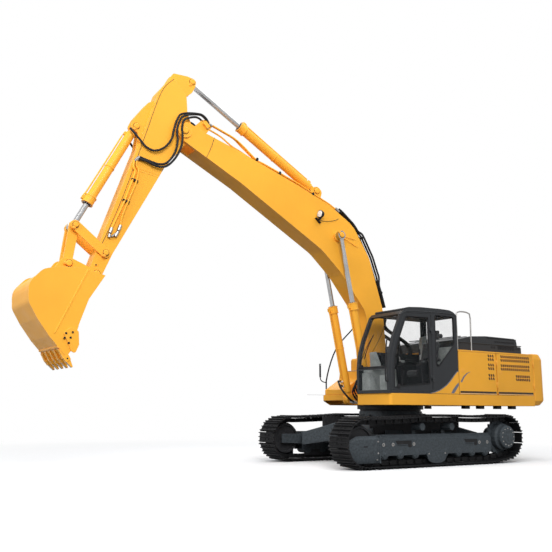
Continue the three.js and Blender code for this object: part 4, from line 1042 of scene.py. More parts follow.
def roller_caps(word, side):
    """End caps of the bottom rollers, and the track guard over the middle ones."""
    idler = wheel_centre("idler_left")
    shape = Solids()
    for i in range(ROLLER_COUNT):
        x = idler.x - FIRST_ROLLER - i * ROLLER_SPAN / (ROLLER_COUNT - 1)
        shape.turned((x, side * 1.452, ROLLER_Z), (x, side * 2, ROLLER_Z),
                     [(0, 0.085), (0.012, 0.085), (0.02, 0.07), (0.022, 0.035), (0.034, 0.03)], 20)
    shape.emit(f"roller_caps_{word}", "undercarriage", "undercarriage")
    guard = Solids()
    middle = rounded([(-0.22, 0.3), (-0.16, 0.12), (-0.02, 0.065), (0.18, 0.065), (0.32, 0.12), (0.38, 0.3)],
                     0.05)
    guard.prism(middle, *band(side, 1.462, 1.49))
    guard.emit(f"track_guard_{word}", "undercarriage", "undercarriage", 0.005)
    bolts(f"track_guard_bolts_{word}", [(x, side * 1.49, 0.26) for x in (-0.15, 0.31)], (0, side, 0),
          "undercarriage", radius=0.014)


def carbody_legs():
    """Sloping box legs from the middle of the undercarriage, and guards behind the bottom rollers, whose
    near-black colour is painted shade.
    """
    turns = {"front_left": (0.7, 48), "front_right": (0.7, -48), "rear_left": (-0.7, 132),
             "rear_right": (-0.7, -132)}
    for word, (start, turn) in turns.items():
        leg = Solids(upright((start, 0, 0), turn))
        leg.prism([(-0.1, 0.6), (-0.1, 1.04), (0.5, 0.9), (1.42, 0.64), (1.42, 0.36)], -0.17, 0.17)
        leg.emit("carbody_leg_" + word, "undercarriage", "undercarriage", 0.015)
    # Painted shade: these guard plates are parts, and their near-black finish fills the space under the
    # track's upper run with shade-dark colour.
    guards = Solids()
    for side in SIDES.values():
        guards.box(-1.85, 1.55, *band(side, 1.16, 1.185), 0.125, 0.33)
        guards.box(-1.3, 1.3, *band(side, 0.8, 0.825), 0.5, 0.98)
    guards.emit("roller_guards", "undercarriage", "cast", 0.004)


STEP_SLOTS = ((0.76, 1.19), (-1.16, -0.76))


def frame_side(word, side):
    """Step slots, their lips and tie-down eyes on the outer side of a track frame; the slots are dark sheets
    of painted shade.
    """
    slots = Solids()
    for x0, x1 in STEP_SLOTS:
        hole = rounded([(x0, 0.4), (x0 + 0.09, 0.4), (x0 + 0.1, 0.46), (x1 - 0.05, 0.46), (x1, 0.53),
                        (x0, 0.53)], 0.012)
        slots.prism(hole, *band(side, 1.46, 1.4675))
    # Painted shade: the slots are thin dark sheets in the black rubber material.
    slots.emit(f"step_slots_{word}", "undercarriage", "rubber")
    lips = Solids()
    for x0, x1 in STEP_SLOTS:
        lips.box(x0 + 0.11, x1 - 0.04, *band(side, 1.46, 1.478), 0.442, 0.456)
        lips.box(x0 - 0.02, x1 + 0.02, *band(side, 1.46, 1.476), 0.532, 0.544)
    lips.emit(f"step_lips_{word}", "undercarriage", "undercarriage", 0.003)
    eyes = Solids()
    for x in (1.506, 1.26, 0.7, -1.22, -1.466):
        eyes.ring((x, side * FRAME_FACE, 0.46), (0, side, 0), 0.018, 0.034, 0.014, 20)
    eyes.emit(f"tie_down_eyes_{word}", "undercarriage", "steel")


# ---- Body panels ----

SIDE_FACE = 1.49
FILM = 0.0012
STUD_MARGIN = 0.07
STUD_STEP = 0.05
HOOD_HINGE = (-0.95, 2.45)
GRILLE_LEAN = 0.01


def slot_shape(width, height, depth):
    """A slot with rounded ends, seen from its front (+Z), X along its width: a dark sheet of painted shade
    where the opening is.
    """
    shape = Solids(Matrix())
    half, tall = width / 2, height / 2
    lean = GRILLE_LEAN
    outline = rounded([(-half + lean, -tall), (half + lean, -tall), (half - lean, tall),
                       (-half - lean, tall)],
                      width * 0.3, 2)
    shape.prism(outline, -0.002, depth, 2)
    return shape


def louvre_shape(width, height, depth):
    """The pressed lip over one side of a slot."""
    shape = Solids(Matrix())
    half, tall = width / 2 + 0.004, height / 2 + 0.004
    shape.add([(-half, -tall, 0), (-half - 0.011, -tall, 0), (-half - 0.011, tall, 0), (-half, tall, 0),
               (-half, -tall, depth), (-half, tall, depth)],
              [(0, 1, 2, 3), (0, 3, 5, 4), (1, 4, 5, 2), (0, 4, 1), (3, 2, 5)])
    return shape


def grille(name, x_first, x_last, bands, side, body, pitch=0.066, face=SIDE_FACE, wide=0.042):
    """Rows of slots with their lips in an upright panel; bands holds (low, high) heights."""
    count = max(1, round(abs(x_last - x_first) / pitch))
    facing = (0, side, 0)
    for low, high in bands:
        middle = (low + high) / 2
        spots = [((x_first + (x_last - x_first) * i / count, side * face, middle), facing, (side, 0, 0))
                 for i in range(count + 1)]
        tag = f"{name}_{round(low * 100)}"
        # Painted shade: the slots are thin dark sheets in the black rubber material, standing for shaded
        # openings.
        copies(tag + "_slots", slot_shape(wide, high - low, 0.0012), spots, body, "rubber")
        copies(tag + "_lips", louvre_shape(wide, high - low, 0.007), spots, body,
               "paint" if "hood" not in name else "plastic")


class EXCAVATOR_OT_side_doors(bpy.types.Operator):
    """Add grilles, stripes, latches and a sweeping line to the side doors"""

    bl_idname = "excavator.side_doors"
    bl_label = "Side doors"

    def execute(self, context):
        rear_rows = ((2.305, 2.365), (2.225, 2.285), (2.105, 2.165), (2.025, 2.085))
        short_rows = ((1.875, 1.935), (1.8, 1.86))
        grille("left_rear_grille", -2.98, -2.04, rear_rows, 1, "left_rear_door")
        grille("left_low_grille", -2.98, -2.54, short_rows, 1, "left_rear_door")
        grille("left_front_grille", -1.76, -1.62, (*rear_rows, *short_rows), 1, "left_front_door")
        grille("right_rear_grille", -2.98, -2.04, rear_rows, -1, "right_rear_door")
        grille("right_low_grille", -2.98, -2.54, short_rows, -1, "right_rear_door")
        for body, side, x0, x1 in (("left_rear_door", 1, -3.1, -1.9), ("left_front_door", 1, -1.83, -0.68),
                                   ("right_rear_door", -1, -3.1, -1.9)):
            stripes(body, side, x0, x1)
            latch(body, side, x1 - 0.1, 1.98)
        sweep = [(-0.7, 1.75), (-0.79, 1.86), (-0.9, 1.935), (-1.03, 1.965), (-0.92, 1.92), (-0.82, 1.835),
                 (-0.735, 1.72)]
        film = Solids().prism(sweep, SIDE_FACE - 0.001, SIDE_FACE + FILM)
        film.emit("door_sweep", "left_front_door", "grey")
        return {"FINISHED"}


def stripes(body, side, x0, x1):
    """Dark stripe and thin pale line along a door's foot."""
    for word, low, high, material in (("dark_stripe", 1.502, 1.545, "stripe"),
                                      ("pale_line", 1.489, 1.494, "pale")):
        band_of_film = [(x0, low), (x1, low), (x1, high), (x0, high)]
        Solids().prism(band_of_film, *band(side, SIDE_FACE - 0.001, SIDE_FACE + FILM)).emit(
            f"{body}_{word}", body, material)


def latch(body, side, x, z):
    """Recessed paddle latch with its key cylinder."""
    face = side * SIDE_FACE
    tray = rect(x - 0.05, x + 0.05, z - 0.035, z + 0.035, 0.012)
    sunk = Solids().prism(tray, *band(side, SIDE_FACE - 0.002, SIDE_FACE + 0.002))
    sunk.emit(f"{body}_latch_tray", body, "paint")
    shape = Solids()
    paddle = rect(x - 0.038, x + 0.038, z - 0.012, z + 0.024, 0.008)
    shape.prism(paddle, *band(side, SIDE_FACE, SIDE_FACE + 0.006))
    shape.turned((x, face, z - 0.023), (x, face + side, z - 0.023), [(0, 0.008), (0.006, 0.007)], 12)
    shape.emit(f"{body}_latch", body, "paint", 0.001)


class EXCAVATOR_OT_hood(bpy.types.Operator):
    """Add the ledge, louvres, holes and hinges of the engine hood"""

    bl_idname = "excavator.hood"
    bl_label = "Engine hood"

    def execute(self, context):
        low, high = box_in("engine_hood", MACHINE)
        body = "engine_hood"
        rim = Solids()
        for side in SIDES.values():
            rim.box(low.x + 0.01, high.x - 0.01, *band(side, high.y - 0.004, high.y + 0.016), 2.628, 2.65)
            rim.box(low.x + 0.01, high.x - 0.01, *band(side, high.y - 0.004, high.y + 0.02), 2.438, 2.462)
        rim.box(low.x - 0.016, low.x + 0.004, -high.y, high.y, 2.438, 2.462)
        rim.emit("hood_ledges", body, "cab", 0.006)
        for word, side in SIDES.items():
            grille(f"hood_{word}_low", -2.84, -2.3, ((2.525, 2.615),), side, body, 0.06, high.y, 0.034)
            grille(f"hood_{word}_mid", -2.82, -2.2, ((2.685, 2.72),), side, body, 0.075, high.y, 0.05)
            grille(f"hood_{word}_top", -2.9, -1.95, ((2.765, 2.795),), side, body, 0.09, high.y, 0.066)
            # Painted shade: the holes are dark discs in the black rubber material.
            holes = Solids()
            for x in (-3.02, -2.94, -2.17, -2.09):
                holes.turned((x, side * (high.y - 0.002), 2.57), (x, side * 9, 2.57),
                             [(0, 0.034), (0.003, 0.034)], 20)
            holes.emit(f"hood_{word}_holes", body, "rubber")
        top = high.z
        ribs = [((x, 0, top - 0.004), (0, 0, 1), (1, 0, 0))
                for x in (-2.45, -2.25, -2.05, -1.85, -1.65, -1.45)]
        rib = Solids(Matrix())
        rib.prism(rect(-0.03, 0.03, -0.85, 0.85, 0.028), 0, 0.014, 2)
        copies("hood_ribs", rib, ribs, body, "cab")
        exhaust = [(-2.3, -0.75, 2.7), (-2.3, -0.75, 2.9), (-2.36, -0.75, 2.99), (-2.47, -0.75, 3.02)]
        tube("exhaust_pipe", [exhaust], 0.055, body, "cast", step=0.02, sides=20)
        pivots = Solids()
        x, z = HOOD_HINGE
        for y in (-0.8, 0, 0.8):
            pivots.rod((x, y - 0.06, z), (x, y + 0.06, z), 0.018, 16)
        pivots.emit("hood_hinges", "engine_hood", "steel")
        return {"FINISHED"}


class EXCAVATOR_OT_body_fittings(bpy.types.Operator):
    """Add feet, lifting eyes, seams, tread plates and covers to the upper body"""

    bl_idname = "excavator.body_fittings"
    bl_label = "Body fittings"

    def execute(self, context):
        feet = Solids()
        for x in (-0.98, -1.44, -2.0, -2.5):
            for side in SIDES.values():
                feet.box(x - 0.075, x + 0.075, *band(side, 1.28, 1.4), 1.165, 1.236)
        feet.emit("deck_feet", "house", "rubber", 0.008)
        eyes = Solids()
        top = box_in("counterweight", MACHINE)[1].z
        for side in SIDES.values():
            eyes.prism(rounded([(-3.34, top - 0.01), (-3.2, top - 0.01), (-3.22, top + 0.09),
                                (-3.32, top + 0.09)], 0.03),
                       *band(side, 0.73, 0.77))
        eyes.emit("lifting_eyes", "house", "paint", 0.005)
        seam = Solids()
        for side in SIDES.values():
            seam.box(-2.45, 1.25, *band(side, SIDE_FACE - 0.002, SIDE_FACE + 0.0008), 1.4725, 1.4765)
        seam.emit("deck_seam", "house", "rubber")
        deck_tread()
        tail_details()
        step_details()
        tank_details()
        return {"FINISHED"}


def deck_tread():
    """Raised studs of the walkway over the tanks."""
    stud = Solids(Matrix())
    stud.turned((0, 0, -0.001), (0, 0, 1), [(0, 0.013), (0.004, 0.011), (0.005, 0.004)], 8)
    places = []
    for tank in ("fuel_tank", "hydraulic_tank"):
        low, high = box_in(tank, MACHINE)
        for i in range(int((high.x - low.x - 2 * STUD_MARGIN) / STUD_STEP)):
            for j in range(int((high.y - low.y - 0.3) / STUD_STEP)):
                shift = STUD_STEP / 2 if i % 2 else 0
                spot = (low.x + STUD_MARGIN + i * STUD_STEP, low.y + 0.15 + shift + j * STUD_STEP, high.z)
                places.append((spot, (0, 0, 1), (1, 0, 0)))
    copies("tread_studs", stud, places, "house", "steel")


def tail_details():
    """Reflectors and a bolted cover plate on the counterweight's tail."""
    low = box_in("counterweight", MACHINE)[0]
    cover = Solids()
    for word, side in SIDES.items():
        y = side * 1.1
        Solids().prism(rect(y - 0.07, y + 0.07, 1.75, 1.79, 0.01), low.x + 0.025, low.x + 0.05, 0).emit(
            f"reflector_{word}", "house", "red")
    cover.prism(rect(-0.3, 0.3, 1.95, 2.2, 0.03), low.x - 0.004, low.x + 0.02, 0)
    cover.emit("tail_plate", "house", "paint", 0.004)
    bolts("tail_plate_bolts", [(low.x - 0.004, y, z) for y in (-0.26, 0.26) for z in (1.98, 2.17)],
          (-1, 0, 0), "house")


def step_details():
    """Grille face and tread strips of the steps in front of the fuel tank."""
    low, high = box_in("toolbox", MACHINE)
    side = low.y
    face = Solids()
    face.prism(rounded([(0.03, 1.53), (0.62, 1.53), (0.33, 1.76), (0.3, 1.99), (0.03, 1.99)], 0.03),
               side - 0.003, side + 0.002)
    face.emit("step_face", "house", "plastic")
    shape = Solids()
    for k in range(5):
        x = -0.03 + 0.35 * k / 4
        shape.box(x - 0.02, x + 0.02, low.y + 0.05, high.y - 0.05, 2.03, 2.04)
    for k in range(4):
        x, z = 0.45 + 0.27 * k / 3, 1.795 - 0.166 * k / 3
        shape.prism([(x - 0.02, z + 0.002), (x + 0.02, z - 0.026), (x + 0.024, z - 0.016),
                     (x - 0.016, z + 0.012)],
                    low.y + 0.05, high.y - 0.05)
    shape.emit("step_treads", "house", "steel", 0.002)


def tank_details():
    """Filler caps and level gauge of the tanks."""
    caps = Solids()
    for x, z in ((-0.55, 2.373), (-1.45, 2.413)):
        caps.turned((x, -0.95, z), (x, -0.95, 9), [(0, 0.09), (0.015, 0.09), (0.02, 0.065), (0.06, 0.062),
                                                   (0.065, 0.05)], 24)
    caps.emit("filler_caps", "house", "plastic", 0.003)
    Solids().box(-1.2, -1.16, -1.486, -1.478, 1.75, 2.05).emit("level_gauge", "house", "plastic", 0.002)


# ---- Cab ----

CAB_FACE = 1.486
CAB_MIDDLE = 0.983
FLOOR_TOP = 1.517


class EXCAVATOR_OT_cab_outside(bpy.types.Operator):
    """Add the lower panel, window seals, handles, wiper and roof to the cab"""

    bl_idname = "excavator.cab_outside"
    bl_label = "Cab outside"

    def execute(self, context):
        panel = [(-0.646, 1.955), (-0.6, 1.94), (-0.5, 1.845), (-0.4, 1.75), (-0.3, 1.665), (-0.19, 1.6),
                 (-0.08, 1.545), (0.06, 1.5), (0.19, 1.478), (-0.646, 1.478)]
        skirt = Solids().prism(panel, CAB_FACE - 0.004, CAB_FACE + 0.004)
        skirt.emit("cab_lower_panel", "house", "paint", 0.002)
        trim = [(-0.646, 1.975), (-0.59, 1.955), (-0.49, 1.862), (-0.39, 1.767), (-0.29, 1.682),
                (-0.18, 1.616), (-0.07, 1.56), (0.07, 1.513), (0.22, 1.484)]
        Solids().prism(trim + panel[8::-1], CAB_FACE - 0.003, CAB_FACE + 0.0055).emit(
            "cab_panel_trim", "house", "grey")
        sweep = [(-0.4, 1.49), (-0.45, 1.56), (-0.54, 1.65), (-0.63, 1.72), (-0.64, 1.66), (-0.56, 1.57),
                 (-0.49, 1.49)]
        Solids().prism(sweep, CAB_FACE, CAB_FACE + 0.0052).emit("cab_panel_sweep", "house", "grey")
        cab_seals()
        cab_handles()
        cab_roof()
        return {"FINISHED"}


def loop_of(node, inset=0.0):
    """Outline of an upright pane in X and Z, from its own corners, in order round its middle."""
    back = MACHINE.inverted()
    points = {(round(p.x, 4), round(p.z, 4)) for p in (back @ v.co for v in NODES[node].data.vertices)}
    middle = Vector((sum(p[0] for p in points) / len(points), sum(p[1] for p in points) / len(points)))
    order = sorted(points, key=lambda p: math.atan2(p[1] - middle.y, p[0] - middle.x))
    return [tuple(Vector(p) + (middle - Vector(p)).normalized() * inset) for p in order]


def closely(loop, step):
    """Points along a closed outline, no further apart than a step."""
    points = []
    for start, end in zip(loop, loop[1:] + loop[:1]):
        count = math.ceil(math.dist(start, end) / step)
        points += [tuple(Vector(start).lerp(Vector(end), k / count)) for k in range(count)]
    return points


def cab_seals():
    """Rubber seals round the cab's panes, and the dark gap beside the door."""
    for node, body, y in (("cab_door_glass", "cab_door", 1.484), ("rear_side_glass", "house", 1.483),
                          ("right_glass", "house", 0.483)):
        path = [(x, y, z) for x, z in closely(loop_of(node, 0.004), 0.05)]
        tube(node + "_seal", [path], 0.011, body, "rubber", step=0.02, sides=8, closed=True)
    gap = [(0.118, CAB_FACE, 1.56), (0.118, CAB_FACE, 3.12)]
    tube("door_gap", [gap], 0.004, "house", "rubber", step=0.1, sides=6)


def cab_handles():
    """Door lock and grip, front grab bar, wiper and the bar across the windshield."""
    shape = Solids()
    shape.turned((1.08, CAB_FACE - 0.006, 1.605), (1.08, 9, 1.605),
                 [(0, 0.052), (0.01, 0.05), (0.012, 0.03), (0.02, 0.027)], 24)
    shape.emit("door_lock", "cab_door", "rubber", 0.002)
    grip = [(1.02, 1.482, 1.66), (1.02, 1.515, 1.68), (0.98, 1.52, 1.86), (0.97, 1.515, 1.92),
            (0.97, 1.482, 1.94)]
    tube("door_grip", [grip], 0.009, "cab_door", "rubber", step=0.012, sides=10)
    bar = [(1.35, 1.44, 1.7), (1.405, 1.46, 1.74), (1.4, 1.46, 2.1), (1.36, 1.46, 2.5), (1.31, 1.44, 2.55)]
    tube("front_grab_bar", [bar], 0.014, "house", "rubber", step=0.02, sides=12)
    arm = [(1.36, 0.62, 2.03), (1.375, 0.64, 2.1), (1.345, 0.8, 2.4), (1.29, 0.93, 2.62)]
    tube("wiper_arm", [arm], 0.007, "house", "rubber", step=0.03, sides=8)
    blade = [(1.355, 0.75, 2.18), (1.33, 0.84, 2.42), (1.27, 0.96, 2.68)]
    tube("wiper_blade", [blade], 0.009, "house", "rubber", step=0.03, sides=6)
    Solids().box(1.33, 1.375, 0.58, 0.68, 1.99, 2.06).emit("wiper_motor", "house", "plastic", 0.008)
    cross = [(1.352, 0.545, 1.997), (1.352, 1.42, 1.997)]
    tube("windshield_bar", [cross], 0.013, "house", "rubber", step=0.2, sides=8)


def cab_roof():
    """Drip rail over the door, crowned roof and its hatch."""
    rail = [(1.02, 1.487, 3.07), (0.9, 1.489, 3.13), (0.76, 1.489, 3.17), (0.4, 1.489, 3.185),
            (0.15, 1.489, 3.19),
            (-0.3, 1.489, 3.195), (-0.56, 1.489, 3.19), (-0.628, 1.489, 3.13), (-0.638, 1.489, 2.8)]
    tube("drip_rail", [rail], 0.01, "house", "cab", step=0.03, sides=8)
    crown = Solids()
    side = [(-0.6, 3.2), (0.84, 3.16), (0.86, 3.225), (0.7, 3.262), (0.35, 3.285), (-0.2, 3.292),
            (-0.5, 3.286), (-0.61, 3.25)]
    crown.prism(rounded(side, 0.03), 0.53, 1.437)
    crown.emit("roof_crown", "house", "cab", 0.02)
    Solids().prism(rect(-0.35, 0.35, 0.68, 1.29, 0.06), 3.28, 3.308, 2).emit(
        "roof_hatch", "house", "cab", 0.01)


class EXCAVATOR_OT_cab_inside(bpy.types.Operator):
    """Fit out the cab with linings, consoles, levers, pedals and a monitor"""

    bl_idname = "excavator.cab_inside"
    bl_label = "Cab inside"

    def execute(self, context):
        lining = Solids()
        lining.box(-0.6, -0.585, 0.53, 1.43, FLOOR_TOP, 2.5)
        lining.box(-0.58, 1.2, 0.527, 0.54, FLOOR_TOP, 2.02)
        lining.prism(rounded([(-0.585, 2.05), (-0.42, 2.12), (-0.45, 2.75), (-0.585, 2.8)], 0.03), 0.53, 0.62)
        lining.prism(rounded([(-0.585, 1.7), (-0.15, 1.7), (-0.2, 2.0), (-0.585, 2.4)], 0.04), 1.3, 1.432)
        lining.emit("cab_lining", "house", "lining", 0.006)
        trim = Solids()
        trim.box(-0.6, -0.49, 0.529, 0.543, 2.02, 3.14)
        trim.box(0.16, 0.9, 0.529, 0.543, 2.02, 2.36)
        trim.box(-0.5, 0.17, 0.529, 0.543, 2.02, 2.36)
        trim.box(0.16, 0.2, 0.529, 0.56, 2.3, 3.14)
        trim.emit("right_trim", "house", "plastic", 0.004)
        Solids().box(-0.58, 0.75, 0.54, 1.43, 3.12, 3.15).emit("cab_headliner", "house", "plastic", 0.008)
        Solids().prism(rect(0.2, 1.26, 0.56, 1.41, 0.04), FLOOR_TOP, FLOOR_TOP + 0.012, 2).emit(
            "cab_mat", "house", "rubber", 0.003)
        console_parts()
        pedals()
        return {"FINISHED"}


def console_parts():
    """Arm pads, joystick levers, switch panel and monitor."""
    pads = Solids()
    for side in SIDES.values():
        y = CAB_MIDDLE + side * 0.315
        pads.prism(rounded([(-0.27, 2.165), (0.15, 2.185), (0.15, 2.235), (-0.27, 2.225)], 0.02), y - 0.05,
                   y + 0.05)
    pads.emit("arm_pads", "house", "rubber", 0.012)
    for word, side in SIDES.items():
        y = CAB_MIDDLE + side * 0.315
        boot = Solids()
        boot.turned((0.28, y, 2.1), (0.3, y, 9), [(0, 0.055), (0.03, 0.05), (0.04, 0.036), (0.07, 0.032),
                                                  (0.08, 0.02)], 16)
        boot.emit(f"lever_boot_{word}", "house", "rubber")
        tube(f"lever_{word}", [[(0.28, y, 2.15), (0.285, y, 2.24), (0.3, y, 2.3)]], 0.011, "house", "steel",
             step=0.02)
        grip = Solids()
        grip.turned((0.3, y, 2.28), (0.33, y, 2.6), [(0, 0.016), (0.02, 0.024), (0.07, 0.022), (0.1, 0.028),
                                                     (0.125, 0.02)], 14)
        grip.emit(f"lever_grip_{word}", "house", "rubber")
    panel = Solids()
    panel.prism(rounded([(0.85, 2.02), (1.02, 2.02), (1.04, 2.34), (0.98, 2.36), (0.86, 2.1)], 0.02), 0.545,
                0.7)
    panel.emit("monitor_pillar", "house", "lining", 0.01)
    Solids().prism(rect(0.55, 0.71, 2.14, 2.29, 0.015), 0.82, 0.845, 0).emit(
        "monitor_screen", "house", "plastic", 0.006)
    keys = [((0.16 + 0.035 * i, 0.668 + 0.03 * j - 0.03, 2.2), (0, 0, 1), (1, 0, 0))
            for i in range(4) for j in range(2)]
    key = Solids(Matrix())
    key.prism(rect(-0.011, 0.011, -0.009, 0.009, 0.003), -0.04, 0.006, 2)
    copies("console_keys", key, keys, "house", "lining")


def pedals():
    """Two travel pedals with their levers, and a foot rest."""
    for word, side in SIDES.items():
        y = CAB_MIDDLE + side * 0.09
        tube(f"travel_lever_{word}", [[(0.86, y, FLOOR_TOP), (0.86, y, 1.75), (0.8, y, 2.05),
                                       (0.76, y, 2.22)]], 0.011,
             "house", "rubber", step=0.03)
        plate = Solids()
        plate.prism(rounded([(0.82, 1.55), (1.02, 1.66), (1.01, 1.675), (0.81, 1.565)], 0.005), y - 0.05,
                    y + 0.05)
        plate.emit(f"travel_pedal_{word}", "house", "rubber", 0.004)
    rest = Solids()
    rest.prism(rounded([(1.0, FLOOR_TOP), (1.27, FLOOR_TOP), (1.27, 1.83), (1.2, 1.83)], 0.03), 1.12, 1.39)
    rest.prism(rounded([(1.02, FLOOR_TOP), (1.27, FLOOR_TOP), (1.27, 1.9), (1.22, 1.9)], 0.03), 0.56, 0.8)
    rest.emit("foot_rest", "house", "lining", 0.01)


# ---- Seat ----

PAD_VOXEL = 0.008
PAD_PRESSURE = 4.0
PAD_FRAMES = 20
PAD_CAP = 0.014


class EXCAVATOR_OT_seat(bpy.types.Operator):
    """Replace the plain seat blocks with a padded cushion, backrest and headrest"""

    bl_idname = "excavator.seat"
    bl_label = "Seat"

    def execute(self, context):
        for node, name in (("seat_cushion", "seat_cushion_cover"), ("seat_backrest", "seat_back_cover")):
            piece = padded_piece(node, name)
            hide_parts(node)
        seat_seams()
        head = Solids()
        head.prism(rounded([(-0.5, 2.68), (-0.42, 2.68), (-0.44, 2.87), (-0.52, 2.87)], 0.035), 0.86, 1.1)
        rest = head.emit("headrest", "house", "cloth", 0.02)
        tube("headrest_posts", [[(-0.44, y, 2.6), (-0.46, y, 2.72)] for y in (0.93, 1.03)], 0.007, "house",
             "steel", step=0.03)
        return {"FINISHED"}


def padded_piece(node, name):
    """A node's block, drawn in a little and puffed out as stuffed cloth."""
    data = NODES[node].data.copy()
    data.name = name
    shape = bmesh.new()
    shape.from_mesh(data)
    bmesh.ops.remove_doubles(shape, verts=shape.verts, dist=0.0001)
    middle = sum((v.co for v in shape.verts), Vector()) / len(shape.verts)
    for vertex in shape.verts:
        away = vertex.co - middle
        vertex.co = middle + away * (1 - PAD_CAP / max(away.length, 0.1))
    shape.to_mesh(data)
    shape.free()
    piece = bpy.data.objects.new(name, data)
    bpy.context.scene.collection.objects.link(piece)
    soft = piece.modifiers.new("soft_edges", "BEVEL")
    soft.width = 0.03
    soft.segments = 4
    fine = piece.modifiers.new("fine_mesh", "REMESH")
    fine.mode = "VOXEL"
    fine.voxel_size = PAD_VOXEL
    bake(piece)
    puff(piece)
    for _ in range(2):
        relax(piece.data)
    piece.data.materials.clear()
    piece.data.materials.append(MATERIALS["cloth"])
    piece.data.shade_smooth()
    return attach(piece, "house")


def bake(piece):
    """Makes a piece's modifiers part of its mesh."""
    depsgraph = bpy.context.evaluated_depsgraph_get()
    data = bpy.data.meshes.new_from_object(piece.evaluated_get(depsgraph), depsgraph=depsgraph)
    piece.modifiers.clear()
    piece.data = data


def puff(piece):
    """Cloth under pressure, with each point's travel capped."""
    scene = bpy.context.scene
    before = [vertex.co.copy() for vertex in piece.data.vertices]
    cloth = piece.modifiers.new("stuffing", "CLOTH")
    cloth.settings.use_pressure = True
    cloth.settings.uniform_pressure_force = PAD_PRESSURE
    cloth.settings.effector_weights.gravity = 0
    for frame_number in range(1, PAD_FRAMES + 1):
        scene.frame_set(frame_number)
    bake(piece)
    scene.frame_set(1)
    for vertex, start in zip(piece.data.vertices, before):
        travel = vertex.co - start
        if travel.length > PAD_CAP:
            vertex.co = start + travel.normalized() * PAD_CAP


def relax(data):
    """Evens a mesh's points a little."""
    shape = bmesh.new()
    shape.from_mesh(data)
    bmesh.ops.smooth_vert(shape, verts=shape.verts, factor=0.5, use_axis_x=True, use_axis_y=True,
                          use_axis_z=True)
    shape.to_mesh(data)
    shape.free()


def seat_seams():
    """Piping along the cushion's edges."""
    z = 1.985
    for y in (CAB_MIDDLE - 0.21, CAB_MIDDLE + 0.21):
        tube(f"cushion_piping_{'a' if y < CAB_MIDDLE else 'b'}",
             [[(-0.25, y, z), (0.0, y, z + 0.01), (0.19, y, z + 0.012)]],
             0.004, "house", "rubber", step=0.02, sides=8)


# ---- Boom ----

BOOM_SIDE = 0.235
PIPE_ROWS = (0.12, 0.165, 0.21)
HEAD_ROWS = (0.198, 0.222, 0.248)
BOOM_TOP = ((-0.14, 0.24), (0.74, 1.06), (1.2, 1.33), (1.75, 1.61), (2.2, 1.755), (2.56, 1.8), (2.95, 1.765),
            (3.3, 1.67), (4.14, 1.345), (4.8, 1.04), (5.485, 0.72), (5.9, 0.525), (6.268, 0.345))


def over_boom(x0, x1, lift, y):
    """Points a set height above the boom's back, between two distances along it."""
    points = []
    for (xa, za), (xb, zb) in zip(BOOM_TOP, BOOM_TOP[1:]):
        run = Vector((xb - xa, zb - za))
        normal = Vector((-run.y, run.x)).normalized()
        for k in range(4):
            x = xa + (xb - xa) * k / 4
            if x0 <= x <= x1:
                z = za + (zb - za) * k / 4
                points.append((x + normal.x * lift, y, z + normal.y * lift))
    return points


def clamp_shape(span, width=0.05, thick=0.06):
    """A block that holds a row of pipes, with its two bolts; X along the pipes, Z up."""
    shape = Solids(Matrix())
    half = span / 2 + 0.028
    outline = rounded([(-width / 2, -thick / 2), (width / 2, -thick / 2), (width / 2, thick / 2),
                       (-width / 2, thick / 2)],
                      0.01, 2)
    shape.prism(outline, -half, half)
    for y in (-half + 0.018, half - 0.018):
        shape.turned((0, y, thick / 2), (0, y, 1), [(0, 0.012), (0.012, 0.011)], 6)
    return shape


def pipe_clamps(name, body, place, spots, span):
    """Clamps at (point, upward direction) spots, set square to the pipes."""
    rows = []
    for point, up in spots:
        up = Vector(up).normalized()
        rows.append((point, up, Vector((up.z, 0, -up.x))))
    copies(name, clamp_shape(span), rows, body, "rubber", place)


class EXCAVATOR_OT_boom_lines(bpy.types.Operator):
    """Run the oil pipes and hoses along the boom's back"""

    bl_idname = "excavator.boom_lines"
    bl_label = "Boom lines"

    def execute(self, context):
        pipe = sizes().pipe
        for word, side in SIDES.items():
            paths = []
            for k, y in enumerate(PIPE_ROWS):
                fore = over_boom(3.1, 5.2, 0.05, side * y)
                out = side * HEAD_ROWS[k]
                raised = [(5.55, side * y, 0.86 + 0.01 * k), (5.8, out, 0.8), (6.05, out, 0.69),
                          (6.33, out, 0.56)]
                paths.append([*fore, *raised] if k else [*fore, (5.5, side * y, 0.8), (5.72, out, 0.66),
                                                         (6.0, out, 0.6), (6.3, out, 0.47)])
            tube(f"boom_fore_pipes_{word}", paths, pipe, "boom", "paint", BOOM, step=0.04)
            spots = [((3.75, side * 0.165, 1.53), (0.37, 0, 0.93)),
                     ((4.6, side * 0.165, 1.18), (0.42, 0, 0.9)),
                     ((5.15, side * 0.165, 0.94), (0.42, 0, 0.9))]
            pipe_clamps(f"boom_fore_clamps_{word}", "boom", BOOM, spots, 0.09)
            hoses = [over_boom(0.55, 1.3, 0.1, side * y) + over_boom(1.31, 2.3, 0.1 + 0.03 * k, side * y)
                     + over_boom(2.31, 3.05, 0.11, side * y) for k, y in enumerate(PIPE_ROWS)]
            tube(f"boom_back_hoses_{word}", hoses, sizes().hose * 1.15, "boom", "rubber", BOOM, step=0.04)
            joints = Solids(BOOM)
            for y in PIPE_ROWS:
                joints.rod((3.02, side * y, 1.81), (3.14, side * y, 1.79), 0.028, 6)
            joints.emit(f"boom_hose_ends_{word}", "boom", "steel", 0.002)
            spots = [((1.0, side * 0.165, 1.31), (-0.5, 0, 0.86)),
                     ((2.2, side * 0.165, 1.86), (-0.18, 0, 0.98)),
                     ((3.0, side * 0.165, 1.83), (0.2, 0, 0.98))]
            pipe_clamps(f"boom_back_clamps_{word}", "boom", BOOM, spots, 0.1)
        boom_fittings()
        return {"FINISHED"}


